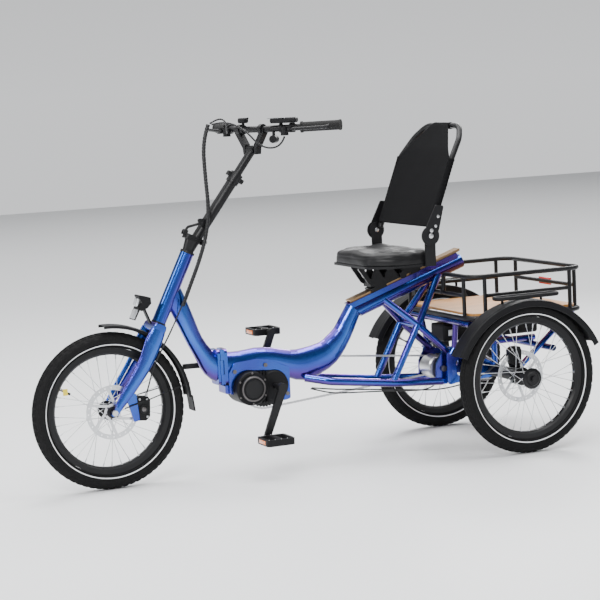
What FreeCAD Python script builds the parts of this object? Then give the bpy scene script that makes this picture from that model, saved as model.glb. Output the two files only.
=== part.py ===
"""Adult electric tricycle with a folding frame, a sling-back seat and a rear cargo basket.

Lengths are millimetres. While the solids are built, x is measured rearwards from the front axle,
y to the rider's right and z up from the floor. Every solid is moved at the end so that the origin
is under the middle of the tricycle's outline.
"""
import FreeCAD
import Part
import math
import os

V = FreeCAD.Vector

# ---- driving dimensions ------------------------------------------------------------------
WHEEL_R = 262.0          # outside radius of a 20 x 2.4 tyre
TYRE_HALF = 28.0         # half the tyre's width
WHEELBASE = 1407.0
HALF_TRACK = 320.0
RUN = 0.05               # radial clearance of a running fit

HEAD_TILT = 27.0         # steering axis, degrees back from upright
HEAD_FOOT = V(191.7, 0, 539.3)
HEAD_LENGTH = 246.0
HEAD_R = 23.5
STEERER_R = 14.3
STEM_FLANGE = 54.0       # height of the stem's parting face above the head tube

HINGE_X = 396.5          # frame hinge pin
HINGE_Y = -30.0
HINGE_PIN_R = 4.0
HINGE_LOW = 309.0
HINGE_HIGH = 430.0
HINGE_GAP = 7.0          # half the gap between the two hinge plates

BEAM_FOOT = V(908, 0, 508)
BEAM_TILT = 18.6         # degrees above level
BEAM_LENGTH = 453.0
BEAM_R = 26.0

CRANK_X = 578.0
CRANK_Z = 289.0
CRANK_LENGTH = 172.0
CRANK_ANGLE = 247.8      # direction of the left arm in the x-z plane, degrees
CHAIN_HALF_HIGH = 4.0
CHAIN_HALF_WIDE = 3.2
CHAINRING_R = 90.0       # pitch radius
CHAINRING_Y = 46.0

GEAR_X = 1216.0
GEAR_Z = 284.0
SPROCKET_R = 32.7
DRIVE_R = 36.0
DRIVE_Y = -47.0

STEM_FOOT = V(338.6, 0, 805)
STEM_TILT = 37.7         # degrees back from upright
STEM_R = 18.0
COLLAR = 248.0           # telescope clamp, measured up the stem
POST_R = 14.0
POST_TOP = 359.0

BAR_TWIST = 22.0         # the bar is turned this far, left side back
RISER = V(558, 0, 1090)
BAR_HIGH = 68.0          # bar above the riser's pivot
BAR_R = 11.0
SWEEP = 28.0             # degrees
GRIP_R = 16.5

PIVOT_X = 1112.0         # backrest pivot
PIVOT_Z = 768.0

RACK_FRONT = 1237.0
RACK_REAR = 1683.0
RACK_HALF = 255.0
RACK_TOP = 617.0
RACK_MID = 550.0
RACK_LOW = 472.0
RAIL_R = 8.0
DECK_THICK = 8.0

MID_X = (RACK_REAR + RAIL_R - WHEEL_R) / 2
Y_AXIS = V(0, 1, 0)


# ---- helpers -----------------------------------------------------------------------------
def unit(v):
    return V(v.x, v.y, v.z).normalize()


def flip(shape):
    """The same shape on the other side of the middle plane."""
    return shape.mirror(V(0, 0, 0), Y_AXIS)


def both(shape):
    return [shape, flip(shape)]


def fuse(*shapes):
    """One solid out of overlapping ones."""
    whole = shapes[0].fuse(list(shapes[1:])).removeSplitter()
    return whole.Solids[0] if len(whole.Solids) == 1 else whole


def rod(a, b, r, bore=0.0):
    along = b - a
    solid = Part.makeCylinder(r, along.Length, a, along)
    if bore:
        solid = solid.cut(Part.makeCylinder(bore, along.Length, a, along))
    return solid


def across(x, z, y0, y1, r, bore=0.0):
    """A cylinder or ring along y."""
    return rod(V(x, y0, z), V(x, y1, z), r, bore)


def block(x0, x1, y0, y1, z0, z1, corner=0.0):
    solid = Part.makeBox(x1 - x0, y1 - y0, z1 - z0, V(x0, y0, z0))
    if corner:
        solid = solid.makeFillet(corner, solid.Edges)
    return solid


def placed(shape, origin, axis, degrees):
    out = shape.copy()
    out.Placement = FreeCAD.Placement(origin, FreeCAD.Rotation(axis, degrees)).multiply(out.Placement)
    return out


HEAD_RUN = V(math.sin(math.radians(HEAD_TILT)), 0, math.cos(math.radians(HEAD_TILT)))
HEAD_TOP = HEAD_FOOT + HEAD_RUN * HEAD_LENGTH


def on_head(shape):
    """From the steering axis's own frame: z up the axis from the head tube's top, x rearwards."""
    return placed(shape, HEAD_TOP, Y_AXIS, HEAD_TILT)


def on_stem(shape):
    """From the stem's own frame: z up the stem from its foot."""
    return placed(shape, STEM_FOOT, Y_AXIS, STEM_TILT)


def on_riser(shape):
    """From the handlebar's own frame: y along the bar, z up from the riser's pivot."""
    return placed(shape, RISER, V(0, 0, 1), BAR_TWIST)


def on_beam(shape):
    """From the seat beam's own frame: x up the beam from its foot, z square to it."""
    return placed(shape, BEAM_FOOT, Y_AXIS, -BEAM_TILT)


def bend_edges(points, radius=None, closed=False):
    """Straight runs joined by tangent arcs; with no radius each arc is as large as its runs allow."""
    count = len(points)
    edges = []
    place = points[0]
    first = None
    for i in range(0 if closed else 1, count if closed else count - 1):
        before = points[i - 1] - points[i]
        after = points[(i + 1) % count] - points[i]
        half_turn = (math.pi - before.getAngle(after)) / 2
        trim = 0.45 * min(before.Length, after.Length)
        if radius is not None:
            trim = min(trim, radius * math.tan(half_turn))
        start = points[i] + unit(before) * trim
        stop = points[i] + unit(after) * trim
        bend = trim / math.tan(half_turn)
        inward = unit(unit(before) + unit(after))
        middle = points[i] + inward * (bend / math.cos(half_turn) - bend)
        if first is None:
            first = start
        if not closed or i:
            edges.append(Part.LineSegment(place, start).toShape())
        edges.append(Part.Arc(start, middle, stop).toShape())
        place = stop
    edges.append(Part.LineSegment(place, first if closed else points[-1]).toShape())
    return edges


def pipe(points, r, bend=None, bore=0.0, closed=False):
    """A round bar or tube that follows straight runs and arcs."""
    edges = bend_edges(points, bend, closed)
    path = Part.Wire(edges)
    start = edges[0].Vertexes[0].Point
    first = edges[0].tangentAt(edges[0].FirstParameter)
    solid = path.makePipeShell([Part.Wire(Part.makeCircle(r, start, first))], True, True)
    if bore:
        solid = solid.cut(path.makePipeShell([Part.Wire(Part.makeCircle(bore, start, first))], True, True))
    return solid


def cord(points, r, note):
    """A cable or hose: its runs, its arcs and a line of text with its smallest bend and its length."""
    path = Part.Wire(bend_edges(points))
    bends = [edge.Curve.Radius for edge in path.Edges if edge.Curve.TypeId == "Part::GeomCircle"]
    solid = pipe(points, r)
    fault = abs(solid.Volume - math.pi * r * r * path.Length) / solid.Volume
    print("%s: length %.0f, smallest bend %.0f, volume out by %.4f" % (note, path.Length, min(bends), fault))
    return solid


def slab(outline, y0, y1, corner=0.0):
    """A plate standing in the x-z plane, from y0 to y1. Its outline is a list of (x, z)."""
    points = [V(x, y0, z) for x, z in outline]
    if corner:
        wire = Part.Wire(bend_edges(points, corner, closed=True))
    else:
        wire = Part.makePolygon(points + points[:1])
    return Part.Face(wire).extrude(V(0, y1 - y0, 0))


def turned(profile, x, z, angle=360.0):
    """A solid of revolution about the y axis through (x, z). Its profile is a list of (radius, y)."""
    points = [V(x + r, y, z) for r, y in profile]
    face = Part.Face(Part.makePolygon(points + points[:1]))
    return face.revolve(V(x, 0, z), V(0, -1, 0), angle)


def oval(x, z, tilt, high, wide, y=0.0):
    """An ellipse across a member that runs at this tilt; high is its half size in the x-z plane."""
    a = math.radians(tilt)
    upward = V(-math.sin(a), 0, math.cos(a))
    centre = V(x, y, z)
    points = []
    for turn in circle_of(16):
        points.append(centre + upward * (high * math.cos(turn)) + Y_AXIS * (wide * math.sin(turn)))
    curve = Part.BSplineCurve()
    curve.interpolate(points, PeriodicFlag=True)
    return Part.Wire(curve.toShape())


def eased(stations, steps=2):
    """More stations between the given ones, on smooth curves through them."""
    out = []
    last = len(stations) - 1
    for i in range(last):
        a, b, c, d = (stations[k] for k in (max(i - 1, 0), i, i + 1, min(i + 2, last)))
        for step in range(steps):
            t = step / steps
            row = []
            for p, q, r, s in zip(a, b, c, d):
                bend = 2 * p - 5 * q + 4 * r - s + t * (3 * (q - r) + s - p)
                row.append(q + 0.5 * t * (r - p + t * bend))
            out.append(row)
    return out + [list(stations[-1])]


def shaped(stations, thinner=0.0):
    """A member with oval sections; each station is x, z, tilt, half height, half width and, if given, y."""
    sections = []
    for x, z, tilt, high, wide, *y in eased(stations):
        sections.append(oval(x, z, tilt, high - thinner, wide - thinner, *y))
    return Part.makeLoft(sections, True, True)


def circle_of(count, start=0.0):
    """Evenly spaced angles, in radians."""
    return [math.radians(start + 360.0 * i / count) for i in range(count)]


def ball_nose(x, z, r, y0, y1, edge):
    """A boss along y with rounded rims."""
    boss = across(x, z, y0, y1, r)
    rims = [e for e in boss.Edges if e.Curve.TypeId == "Part::GeomCircle"]
    return boss.makeFillet(edge, rims)


# ---- wheels --------------------------------------------------------------------------------
TYRE_MID_R = WHEEL_R - TYRE_HALF
BEAD_R = TYRE_MID_R - 23.0
RIM_INNER_R = 187.0
SPOKES = 36


def tyre(x, y):
    wall = 3.6
    hub = V(x, y, WHEEL_R)
    outside = Part.makeTorus(TYRE_MID_R, TYRE_HALF, hub, Y_AXIS)
    inside = Part.makeTorus(TYRE_MID_R, TYRE_HALF - wall, hub, Y_AXIS)
    return outside.cut(inside).cut(across(x, WHEEL_R, y - 40, y + 40, BEAD_R)).Solids[0]


def rim(x, y):
    half = 14.5
    floor = BEAD_R - 9
    profile = [(RIM_INNER_R, -7), (RIM_INNER_R, 7), (floor - 8, half), (BEAD_R, half), (BEAD_R, half - 3),
               (floor, half - 3.5), (floor, 3.5 - half), (BEAD_R, 3 - half), (BEAD_R, -half),
               (floor - 8, -half)]
    return turned([(r, y + side) for r, side in profile], x, WHEEL_R)


def spoke(x, y, turn, flange_y, flange_r, sweep, rim_y):
    """One spoke and its nipple. Sweep is how far its head is turned from its nipple."""
    head = turn + math.radians(sweep)
    reach = RIM_INNER_R - 0.2
    a = V(x + flange_r * math.cos(head), y + flange_y, WHEEL_R + flange_r * math.sin(head))
    b = V(x + reach * math.cos(turn), y + rim_y, WHEEL_R + reach * math.sin(turn))
    return fuse(rod(a, b, 1.0), rod(b, b + unit(a - b) * 14, 2.0))


def spokes(x, y, flange_y, flange_r):
    """Left and right spokes take turns round the rim and cross their neighbours."""
    out = []
    for i, turn in enumerate(circle_of(SPOKES)):
        side = 1 if i % 2 else -1
        sweep = 52 if (i // 2) % 2 else -52
        out.append(spoke(x, y, turn, flange_y[i % 2], flange_r, sweep, 3.0 * side))
    return out


def rotor(x, y, bore):
    """A vented brake disc with six swept arms."""
    half = 1.0
    disc_r = 90.0
    plate = across(x, WHEEL_R, y - half, y + half, disc_r, disc_r - 16)
    centre = across(x, WHEEL_R, y - half, y + half, bore + 9, bore)
    arms = []
    for turn in circle_of(6):
        a = V(x + (bore + 4) * math.cos(turn), y, WHEEL_R + (bore + 4) * math.sin(turn))
        far = turn + math.radians(38)
        b = V(x + 78 * math.cos(far), y, WHEEL_R + 78 * math.sin(far))
        along = b - a
        square = V(-along.z, 0, along.x).normalize() * 4.5
        points = [a - square, b - square, b + square, a + square, a - square]
        arm = Part.Face(Part.makePolygon(points)).extrude(V(0, 2 * half, 0))
        arm.translate(V(0, -half, 0))
        arms.append(arm)
    disc = fuse(plate, centre, *arms)
    holes = []
    for turn in circle_of(24):
        holes.append(across(x + 82 * math.cos(turn), WHEEL_R + 82 * math.sin(turn), y - 2, y + 2, 2.6))
    return disc.cut(holes)


AXLE_R = 5.0
FRONT_ROTOR_Y = -37.0
REAR_ROTOR_Y = 275.0
SHAFT_R = 10.0


def front_hub():
    bore = AXLE_R + RUN
    profile = [(bore, -41), (13, -41), (19.5, -38.4), (19.5, -31), (30, -29), (30, -25), (17, -22),
               (15, 0), (17, 22), (30, 25), (30, 29), (15, 31), (13, 41), (bore, 41)]
    return turned(profile, 0, WHEEL_R)


def front_axle():
    shaft = across(0, WHEEL_R, -66, 66, AXLE_R)
    nuts = [across(0, WHEEL_R, side * 60.5, side * 70, 9.5) for side in (-1, 1)]
    return fuse(shaft, *nuts)


def rear_hub():
    """Right hub with the drive shaft that turns in the axle housing's bearing."""
    profile = [(0, 206), (SHAFT_R, 206), (SHAFT_R, 266), (19.5, 267), (19.5, 284), (31, 286), (31, 290),
               (21, 294), (21, 346), (36, 350), (36, 355), (26, 358), (22, 364), (SHAFT_R, 364),
               (SHAFT_R, 372), (0, 372)]
    return turned(profile, WHEELBASE, WHEEL_R)


# ---- front frame ---------------------------------------------------------------------------
def head_tube():
    """The tube with its two bearing cups."""
    outside = rod(V(0, 0, -HEAD_LENGTH), V(0, 0, 0), HEAD_R)
    low_cup = rod(V(0, 0, -HEAD_LENGTH - 7), V(0, 0, -HEAD_LENGTH), HEAD_R + 1)
    high_cup = rod(V(0, 0, 0), V(0, 0, 8), HEAD_R + 0.5)
    body = fuse(outside, low_cup, high_cup)
    bearing = rod(V(0, 0, -HEAD_LENGTH - 8), V(0, 0, 9), STEERER_R + RUN)
    middle = rod(V(0, 0, 14 - HEAD_LENGTH), V(0, 0, -14), HEAD_R - 3.5)
    return on_head(body.cut(fuse(bearing, middle)))


FRONT_KNUCKLE = (345.3, 392.7)


def hinge_plate(x0, x1):
    plate = block(x0, x1, -34, 34, HINGE_LOW, HINGE_HIGH)
    corners = [e for e in plate.Edges if abs(e.tangentAt(e.FirstParameter).x) > 0.9]
    return plate.makeFillet(14, corners)


def knuckle(z0, z1, plate_x):
    """A barrel on the hinge pin and the web that holds it to its plate."""
    barrel = rod(V(HINGE_X, HINGE_Y, z0), V(HINGE_X, HINGE_Y, z1), 6.4)
    low_x = min(HINGE_X, plate_x)
    web = Part.makeBox(abs(plate_x - HINGE_X), 12.8, z1 - z0, V(low_x, HINGE_Y - 6.4, z0))
    return fuse(barrel, web)


def down_tube():
    stations = [(240, 650, -70, 30, 20), (264, 585, -70, 33, 22), (290, 523, -68, 30, 24),
                (315, 463, -66, 28, 26), (345, 412, -56, 32, 28), (366, 385, -30, 44, 29),
                (384, 370, 0, 54, 30)]
    wall = 2.5
    outside = shaped(stations)
    inside = shaped(stations, wall)
    head = on_head(rod(V(0, 0, -HEAD_LENGTH - 20), V(0, 0, 20), HEAD_R))
    tube = max(outside.cut(inside).cut(head).Solids, key=lambda piece: piece.Volume)
    plate = hinge_plate(HINGE_X - HINGE_GAP - 9, HINGE_X - HINGE_GAP)
    barrel = knuckle(*FRONT_KNUCKLE, HINGE_X - HINGE_GAP - 1)
    lug = block(364, 389, 32, 56, 351, 392)
    throat = block(350, 383, 34, 60, 360.5, 382.5)
    lever_pin = rod(V(LEVER_X, LEVER_Y, 351), V(LEVER_X, LEVER_Y, 392), 3.0)
    whole = fuse(tube, plate, barrel, lug.cut(throat), lever_pin)
    pin_hole = rod(V(HINGE_X, HINGE_Y, 300), V(HINGE_X, HINGE_Y, 440), HINGE_PIN_R + RUN)
    return whole.cut(pin_hole).Solids[0]


LEVER_X = 372.5
LEVER_Y = 46.0


def fold_lever():
    """The frame latch's handle, which lies forwards along the tube when shut."""
    boss = rod(V(LEVER_X, LEVER_Y, 361), V(LEVER_X, LEVER_Y, 382), 8.0)
    outline = [(372, 39.5), (345, 47), (296, 51), (286, 57), (292, 64), (345, 62), (372, 53)]
    points = [V(x, y, 363) for x, y in outline]
    wire = Part.Wire(bend_edges(points, 6, closed=True))
    handle = Part.Face(wire).extrude(V(0, 0, 17))
    bore = rod(V(LEVER_X, LEVER_Y, 350), V(LEVER_X, LEVER_Y, 395), 3.0 + RUN)
    return fuse(boss, handle).cut(bore)


# ---- main frame ----------------------------------------------------------------------------
MAIN_STATIONS = [(412, 362, 0, 54, 29), (472, 367, 2, 47, 29), (531, 376, 0, 44, 30), (590, 371, -6, 43, 30),
                 (652, 352, -8, 48, 30), (712, 344, 3, 57, 29), (789, 366.5, 20, 49.5, 28),
                 (826.5, 396, 37, 44, 28), (860, 435, 52, 36, 27), (883, 475, 62, 33, 27),
                 (908, 518, 62, 30, 27), (930, 560, 62, 28, 27)]
MITRE = V(908, 0, 516)
MITRE_NORMAL = V(0.678, 0, 0.735)


def mitre_half(side):
    """A large box on one side of the joint between the main tube and the seat beam."""
    box = Part.makeBox(400, 200, 400, V(-200, -100, 0 if side > 0 else -400))
    return placed(box, MITRE, Y_AXIS, math.degrees(math.atan2(MITRE_NORMAL.x, MITRE_NORMAL.z)))


def main_tube():
    outside = shaped(MAIN_STATIONS)
    inside = shaped(MAIN_STATIONS, 2.5)
    tube = outside.cut(inside).cut(mitre_half(1))
    plate = hinge_plate(HINGE_X + HINGE_GAP, HINGE_X + HINGE_GAP + 13)
    low = knuckle(HINGE_LOW + 2, FRONT_KNUCKLE[0] - 0.4, HINGE_X + HINGE_GAP + 1)
    high = knuckle(FRONT_KNUCKLE[1] + 0.4, HINGE_HIGH - 2, HINGE_X + HINGE_GAP + 1)
    pin = rod(V(HINGE_X, HINGE_Y, HINGE_LOW), V(HINGE_X, HINGE_Y, HINGE_HIGH), HINGE_PIN_R)
    return fuse(tube, plate, low, high, pin)


def seat_beam():
    """The tube under the seat and the carrier that holds the seat's rail."""
    tube = rod(V(-60, 0, 0), V(BEAM_LENGTH, 0, 0), BEAM_R)
    carrier = block(-30, 440, -22, 22, 18, 36)
    bore = rod(V(-70, 0, 0), V(BEAM_LENGTH + 1, 0, 0), BEAM_R - 3)
    body = on_beam(fuse(tube, carrier).cut(bore))
    return body.cut(mitre_half(-1)).Solids[0]


RAIL_TOP = 46.0


def seat_rail():
    """A flat-topped rail on two webs, which the seat's slider hooks under."""
    top = block(-4, 457, -20, 20, RAIL_TOP - 4, RAIL_TOP)
    webs = [block(-4, 457, side * 14 - 1.5, side * 14 + 1.5, 36, RAIL_TOP - 3) for side in (-1, 1)]
    return on_beam(fuse(top, *webs))


def motor_outline(grow, y0, y1):
    """The motor's two lobes, joined."""
    front = across(490, 290, y0, y1, 58 + grow)
    rear = across(CRANK_X, CRANK_Z, y0, y1, 52 + grow)
    join = slab([(490, 290 - 57 - grow), (CRANK_X, CRANK_Z - 51 - grow), (CRANK_X, CRANK_Z + 51 + grow),
                 (490, 290 + 57 + grow)], y0, y1)
    return fuse(front, rear, join)


def motor_bracket():
    """Two side plates that hang the motor under the main tube."""
    outline = [(417, 276), (417, 345), (440, 380), (520, 386), (560, 380), (640, 345), (640, 238), (612, 232)]
    shell = motor_outline(2.5, 20, 50)
    plate = slab(outline, 30.3, 37, 8).cut(shell)
    below = block(380, 700, 20, 50, 200, 234)
    plate = plate.cut(below)
    foot = slab([(404, 276), (434, 276), (434, 300), (404, 307)], -30, 30, 4)
    foot = foot.cut(motor_outline(2.5, -60, 60))
    return both(plate.Solids[0]) + [foot]


def motor_housing():
    front = ball_nose(490, 290, 58, -66, 40, 6)
    rear = ball_nose(CRANK_X, CRANK_Z, 52, -50, 40, 6)
    join = slab([(490, 234), (CRANK_X, 238), (CRANK_X, 340), (490, 346)], -46, 36)
    cover = ball_nose(490, 290, 45, -75, -64, 4)
    ribs = [slab([(x, 236), (x + 5, 236), (x + 5, 344), (x, 344)], -54, -46) for x in (524, 535, 546)]
    body = fuse(front, rear, join, cover, *ribs)
    body = body.cut(across(CRANK_X, CRANK_Z, -90, 90, SPINDLE_R + RUN))
    return body.cut(shaped(MAIN_STATIONS, -1.0))


STAY_Y = 66.0
STAY_R = 14.0
STRUT_R = 12.0


def rear_triangle():
    """Chain stay, struts and end plate of each side, with the bar and the gear hub's axle across."""
    run = [V(702, 24, 300), V(778, STAY_Y, 284), V(1017, STAY_Y, 253), V(1212, STAY_Y, 239)]
    stay = pipe(run, STAY_R, 60)
    upper = pipe([V(1012, 10, 551), V(1124, 64, 448), V(1236, STAY_Y, 343)], STRUT_R, 60)
    lower = rod(V(1020, 64.5, 256), V(1124, 64, 448), STRUT_R)
    brace = rod(V(1128, 64, 450), V(1240, 16, 612), STRUT_R)
    end = slab([(1188, 228), (1236, 228), (1252, 345), (1222, 356), (1190, 300)], 61, 70, 10)
    side = fuse(stay, upper, lower, brace, end)
    side = side.cut(on_beam(rod(V(-60, 0, 0), V(600, 0, 0), BEAM_R)))
    side = side.cut(shaped(MAIN_STATIONS))
    bar = rod(V(1122, -52, 444), V(1122, 52, 444), 8)
    axle = across(GEAR_X, GEAR_Z, -61, 61, AXLE_R)
    return both(side.Solids[0]) + [bar, axle]


def gear_hub():
    """Hub gear with its driven sprocket on the right and its output sprocket on the left."""
    bore = AXLE_R + RUN
    profile = [(bore, -44), (24, -44), (24, -41), (38, -41), (42, -37), (42, 30), (36, 38), (24, 41),
               (24, 43), (bore, 43)]
    shell = turned(profile, GEAR_X, GEAR_Z)
    driven = sprocket(GEAR_X, GEAR_Z, SPROCKET_R, CHAINRING_Y, 16, bore)
    output = sprocket(GEAR_X, GEAR_Z, DRIVE_R, DRIVE_Y, 18, bore)
    sleeve = across(GEAR_X, GEAR_Z, DRIVE_Y - 4, CHAINRING_Y + 3, 15, bore)
    return fuse(shell, driven, output, sleeve)


def sprocket(x, z, pitch_r, y, teeth, bore):
    """A toothed plate that stays inside the chain's rollers."""
    tip = pitch_r - CHAIN_HALF_HIGH - 0.4
    root = tip - 3.2
    points = []
    for i in range(teeth):
        for share, r in ((0.06, root), (0.34, tip), (0.66, tip), (0.94, root)):
            turn = 2 * math.pi * (i + share) / teeth
            points.append(V(x + r * math.cos(turn), y - 1.2, z + r * math.sin(turn)))
    plate = Part.Face(Part.makePolygon(points + points[:1])).extrude(V(0, 2.4, 0))
    return plate.cut(across(x, z, y - 5, y + 5, bore))


SPINDLE_R = 9.0
PEDAL_AXLE_R = 4.5
ARM_Y = 114.0


def crank_end(side):
    turn = math.radians(CRANK_ANGLE + (180 if side > 0 else 0))
    return CRANK_X + CRANK_LENGTH * math.cos(turn), CRANK_Z + CRANK_LENGTH * math.sin(turn)


def crank_arm(side):
    x, z = crank_end(side)
    along = V(x - CRANK_X, 0, z - CRANK_Z).normalize()
    square = V(-along.z, 0, along.x)
    outline = []
    for reach, half in ((-16, 14), (CRANK_LENGTH + 14, 11), (CRANK_LENGTH + 14, -11), (-16, -14)):
        p = V(CRANK_X, 0, CRANK_Z) + along * reach + square * half
        outline.append((p.x, p.z))
    y0 = side * (ARM_Y - 7)
    arm = slab(outline, y0, side * (ARM_Y + 7), 9)
    boss = across(CRANK_X, CRANK_Z, side * 98, side * (ARM_Y + 7), 17)
    pin = across(x, z, y0, side * 238, PEDAL_AXLE_R)
    return fuse(arm, boss, pin)


def crank_arms():
    """Both arms on their spindle, the pedal axles and the chainring's carrier."""
    spindle = across(CRANK_X, CRANK_Z, -ARM_Y, ARM_Y, SPINDLE_R)
    carrier = across(CRANK_X, CRANK_Z, 47.3, 53, 40)
    arms = []
    for turn in circle_of(5, 20):
        p = V(CRANK_X + 62 * math.cos(turn), 47.3, CRANK_Z + 62 * math.sin(turn))
        q = V(CRANK_X + 20 * math.cos(turn), 47.3, CRANK_Z + 20 * math.sin(turn))
        square = V(-math.sin(turn), 0, math.cos(turn)) * 8
        points = [q - square, p - square, p + square, q + square, q - square]
        arms.append(Part.Face(Part.makePolygon(points)).extrude(V(0, 5, 0)))
    sleeve = across(CRANK_X, CRANK_Z, 53, 99, 14)
    return fuse(spindle, crank_arm(-1), crank_arm(1), carrier, sleeve, *arms)


def chainring():
    return sprocket(CRANK_X, CRANK_Z, CHAINRING_R, CHAINRING_Y, 44, 54)


def pedal(side):
    """A cage pedal that turns on its axle, with its tread across both faces."""
    x, z = crank_end(side)
    y0, y1 = (140, 240) if side > 0 else (-240, -140)
    outer = block(x - 50, x + 50, y0, y1, z - 11, z + 11)
    upright = [e for e in outer.Edges if abs(e.tangentAt(e.FirstParameter).z) > 0.9]
    outer = outer.makeFillet(14, upright)
    windows = [block(x + a, x + a + 30, y0 + 12, y1 - 12, z - 12, z + 12) for a in (-40, 10)]
    sleeve = across(x, z, side * 124, side * 236, 9)
    body = fuse(outer.cut(windows), sleeve)
    return body.cut(across(x, z, side * 120, side * 238.5, PEDAL_AXLE_R + RUN))


def chain(x0, z0, r0, x1, z1, r1, y):
    """A closed run round two sprockets."""
    def band(grow):
        ring = [across(x0, z0, y - CHAIN_HALF_WIDE, y + CHAIN_HALF_WIDE, r0 + grow),
                across(x1, z1, y - CHAIN_HALF_WIDE, y + CHAIN_HALF_WIDE, r1 + grow)]
        gap = math.hypot(x1 - x0, z1 - z0)
        lean = math.atan2(z1 - z0, x1 - x0)
        tip = math.acos((r0 - r1) / gap)
        corners = []
        for x, z, r, turn in ((x0, z0, r0, tip), (x1, z1, r1, tip), (x1, z1, r1, -tip), (x0, z0, r0, -tip)):
            corners.append((x + (r + grow) * math.cos(lean + turn), z + (r + grow) * math.sin(lean + turn)))
        return fuse(ring[0], ring[1], slab(corners, y - CHAIN_HALF_WIDE, y + CHAIN_HALF_WIDE))
    return band(CHAIN_HALF_HIGH).cut(band(-CHAIN_HALF_HIGH))


def chains():
    drive = chain(CRANK_X, CRANK_Z, CHAINRING_R, GEAR_X, GEAR_Z, SPROCKET_R, CHAINRING_Y)
    final = chain(GEAR_X, GEAR_Z, DRIVE_R, WHEELBASE, WHEEL_R, DRIVE_R, DRIVE_Y)
    return [drive, final]


DIFF_SPIGOT_R = 12.0


def differential():
    """The differential's case, its sprocket and the spigots it turns on."""
    profile = [(0, -74), (DIFF_SPIGOT_R, -74), (DIFF_SPIGOT_R, -58), (24, -56), (24, -42), (40, -40),
               (48, -30), (48, 30), (40, 40), (24, 44), (24, 58), (DIFF_SPIGOT_R, 60),
               (DIFF_SPIGOT_R, 74), (0, 74)]
    case = turned(profile, WHEELBASE, WHEEL_R)
    return fuse(case, sprocket(WHEELBASE, WHEEL_R, DRIVE_R, DRIVE_Y, 18, 10))


HOUSING_R = 22.0


def axle_housing():
    """Right tube between the differential and the wheel's bearing."""
    spigot = DIFF_SPIGOT_R + RUN
    bearing = SHAFT_R + RUN
    profile = [(spigot, 62), (32, 62), (32, 68), (HOUSING_R, 70), (HOUSING_R, 248), (32, 251), (32, 262),
               (bearing, 262), (bearing, 225), (HOUSING_R - 4, 223), (HOUSING_R - 4, 78), (spigot, 76)]
    return turned(profile, WHEELBASE, WHEEL_R)


def rear_carriage():
    """The blue frame that ties the gear hub, the axle and the rack together."""
    plate = slab([(1221, 349), (1276, 334), (1340, 334), (1400, 297), (1422, 275), (1416, 246), (1380, 236),
                  (1267, 233), (1220, 225)], 86, 93, 14)
    plate = plate.cut(across(WHEELBASE, WHEEL_R, 60, 120, HOUSING_R))
    window = slab([(1255, 315), (1330, 312), (1362, 288), (1362, 262), (1258, 255)], 80, 100, 14)
    long_bar = pipe([V(1232, 100, 336), V(1252, 100, 365), V(1572, 100, 365)], 11, 18)
    tie = rod(V(WHEELBASE, 100, WHEEL_R + 10), V(WHEELBASE, 100, 365), 10)
    strut = rod(V(1424, 220, 272), V(1662, 220, 466), 10)
    post = rod(V(1246, 100, 358), V(1240, 130, 452), 10)
    arm = rod(V(1560, 0, 342), V(1560, 250, 342), 11)
    link = rod(V(1560, 100, 342), V(1560, 100, 366), 9)
    front = rod(V(1240, 0, 452), V(1240, 236, 452), 11)
    side = fuse(plate.cut(window), long_bar, tie, strut, post, arm, link, front)
    spacers = [rod(V(x, y, z), V(x, y + 17, z), 6) for y in (70, -87) for x, z in ((1232, 248), (1243, 305))]
    whole = fuse(side, flip(side), *spacers)
    sleeve = across(WHEELBASE, WHEEL_R, 60, 262, HOUSING_R)
    return whole.cut([sleeve, flip(sleeve)])


def rear_caliper():
    body = slab([(1363, 318), (1363, 356), (1376, 367), (1404, 367), (1409, 352), (1407, 304), (1384, 300)],
                258, 285.5, 6)
    slot = across(WHEELBASE, WHEEL_R, REAR_ROTOR_Y - 2.5, REAR_ROTOR_Y + 2.5, 93)
    bracket = slab([(1384, 276), (1420, 282), (1412, 352), (1370, 352), (1366, 330)], 249.6, 258, 5)
    bracket = bracket.cut(across(WHEELBASE, WHEEL_R, 240, 270, 32))
    return fuse(body.cut(slot), bracket)


def front_caliper():
    outline = [(80, 226), (80, 300), (92, 307), (122, 303), (129, 290), (126, 236), (112, 223)]
    body = slab(outline, -48, -27, 7)
    slot = across(0, WHEEL_R, FRONT_ROTOR_Y - 2.5, FRONT_ROTOR_Y + 2.5, 93)
    return body.cut(slot)


# ---- rack, basket and mudguards --------------------------------------------------------------
def rack_base():
    """The tube under the basket and the bars that carry the deck."""
    corners = [V(RACK_FRONT, -RACK_HALF, RACK_LOW), V(RACK_REAR, -RACK_HALF, RACK_LOW),
               V(RACK_REAR, RACK_HALF, RACK_LOW), V(RACK_FRONT, RACK_HALF, RACK_LOW)]
    loop = pipe(corners, RAIL_R, 50, closed=True)
    bars = [rod(V(x, -RACK_HALF, RACK_LOW), V(x, RACK_HALF, RACK_LOW), RAIL_R) for x in (1310, 1460, 1610)]
    return fuse(loop, *bars)


def deck_board():
    low = RACK_LOW + RAIL_R
    board = block(1250, 1671, -240, 240, low, low + DECK_THICK)
    upright = [e for e in board.Edges if abs(e.tangentAt(e.FirstParameter).z) > 0.9]
    return board.makeFillet(36, upright)


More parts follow.
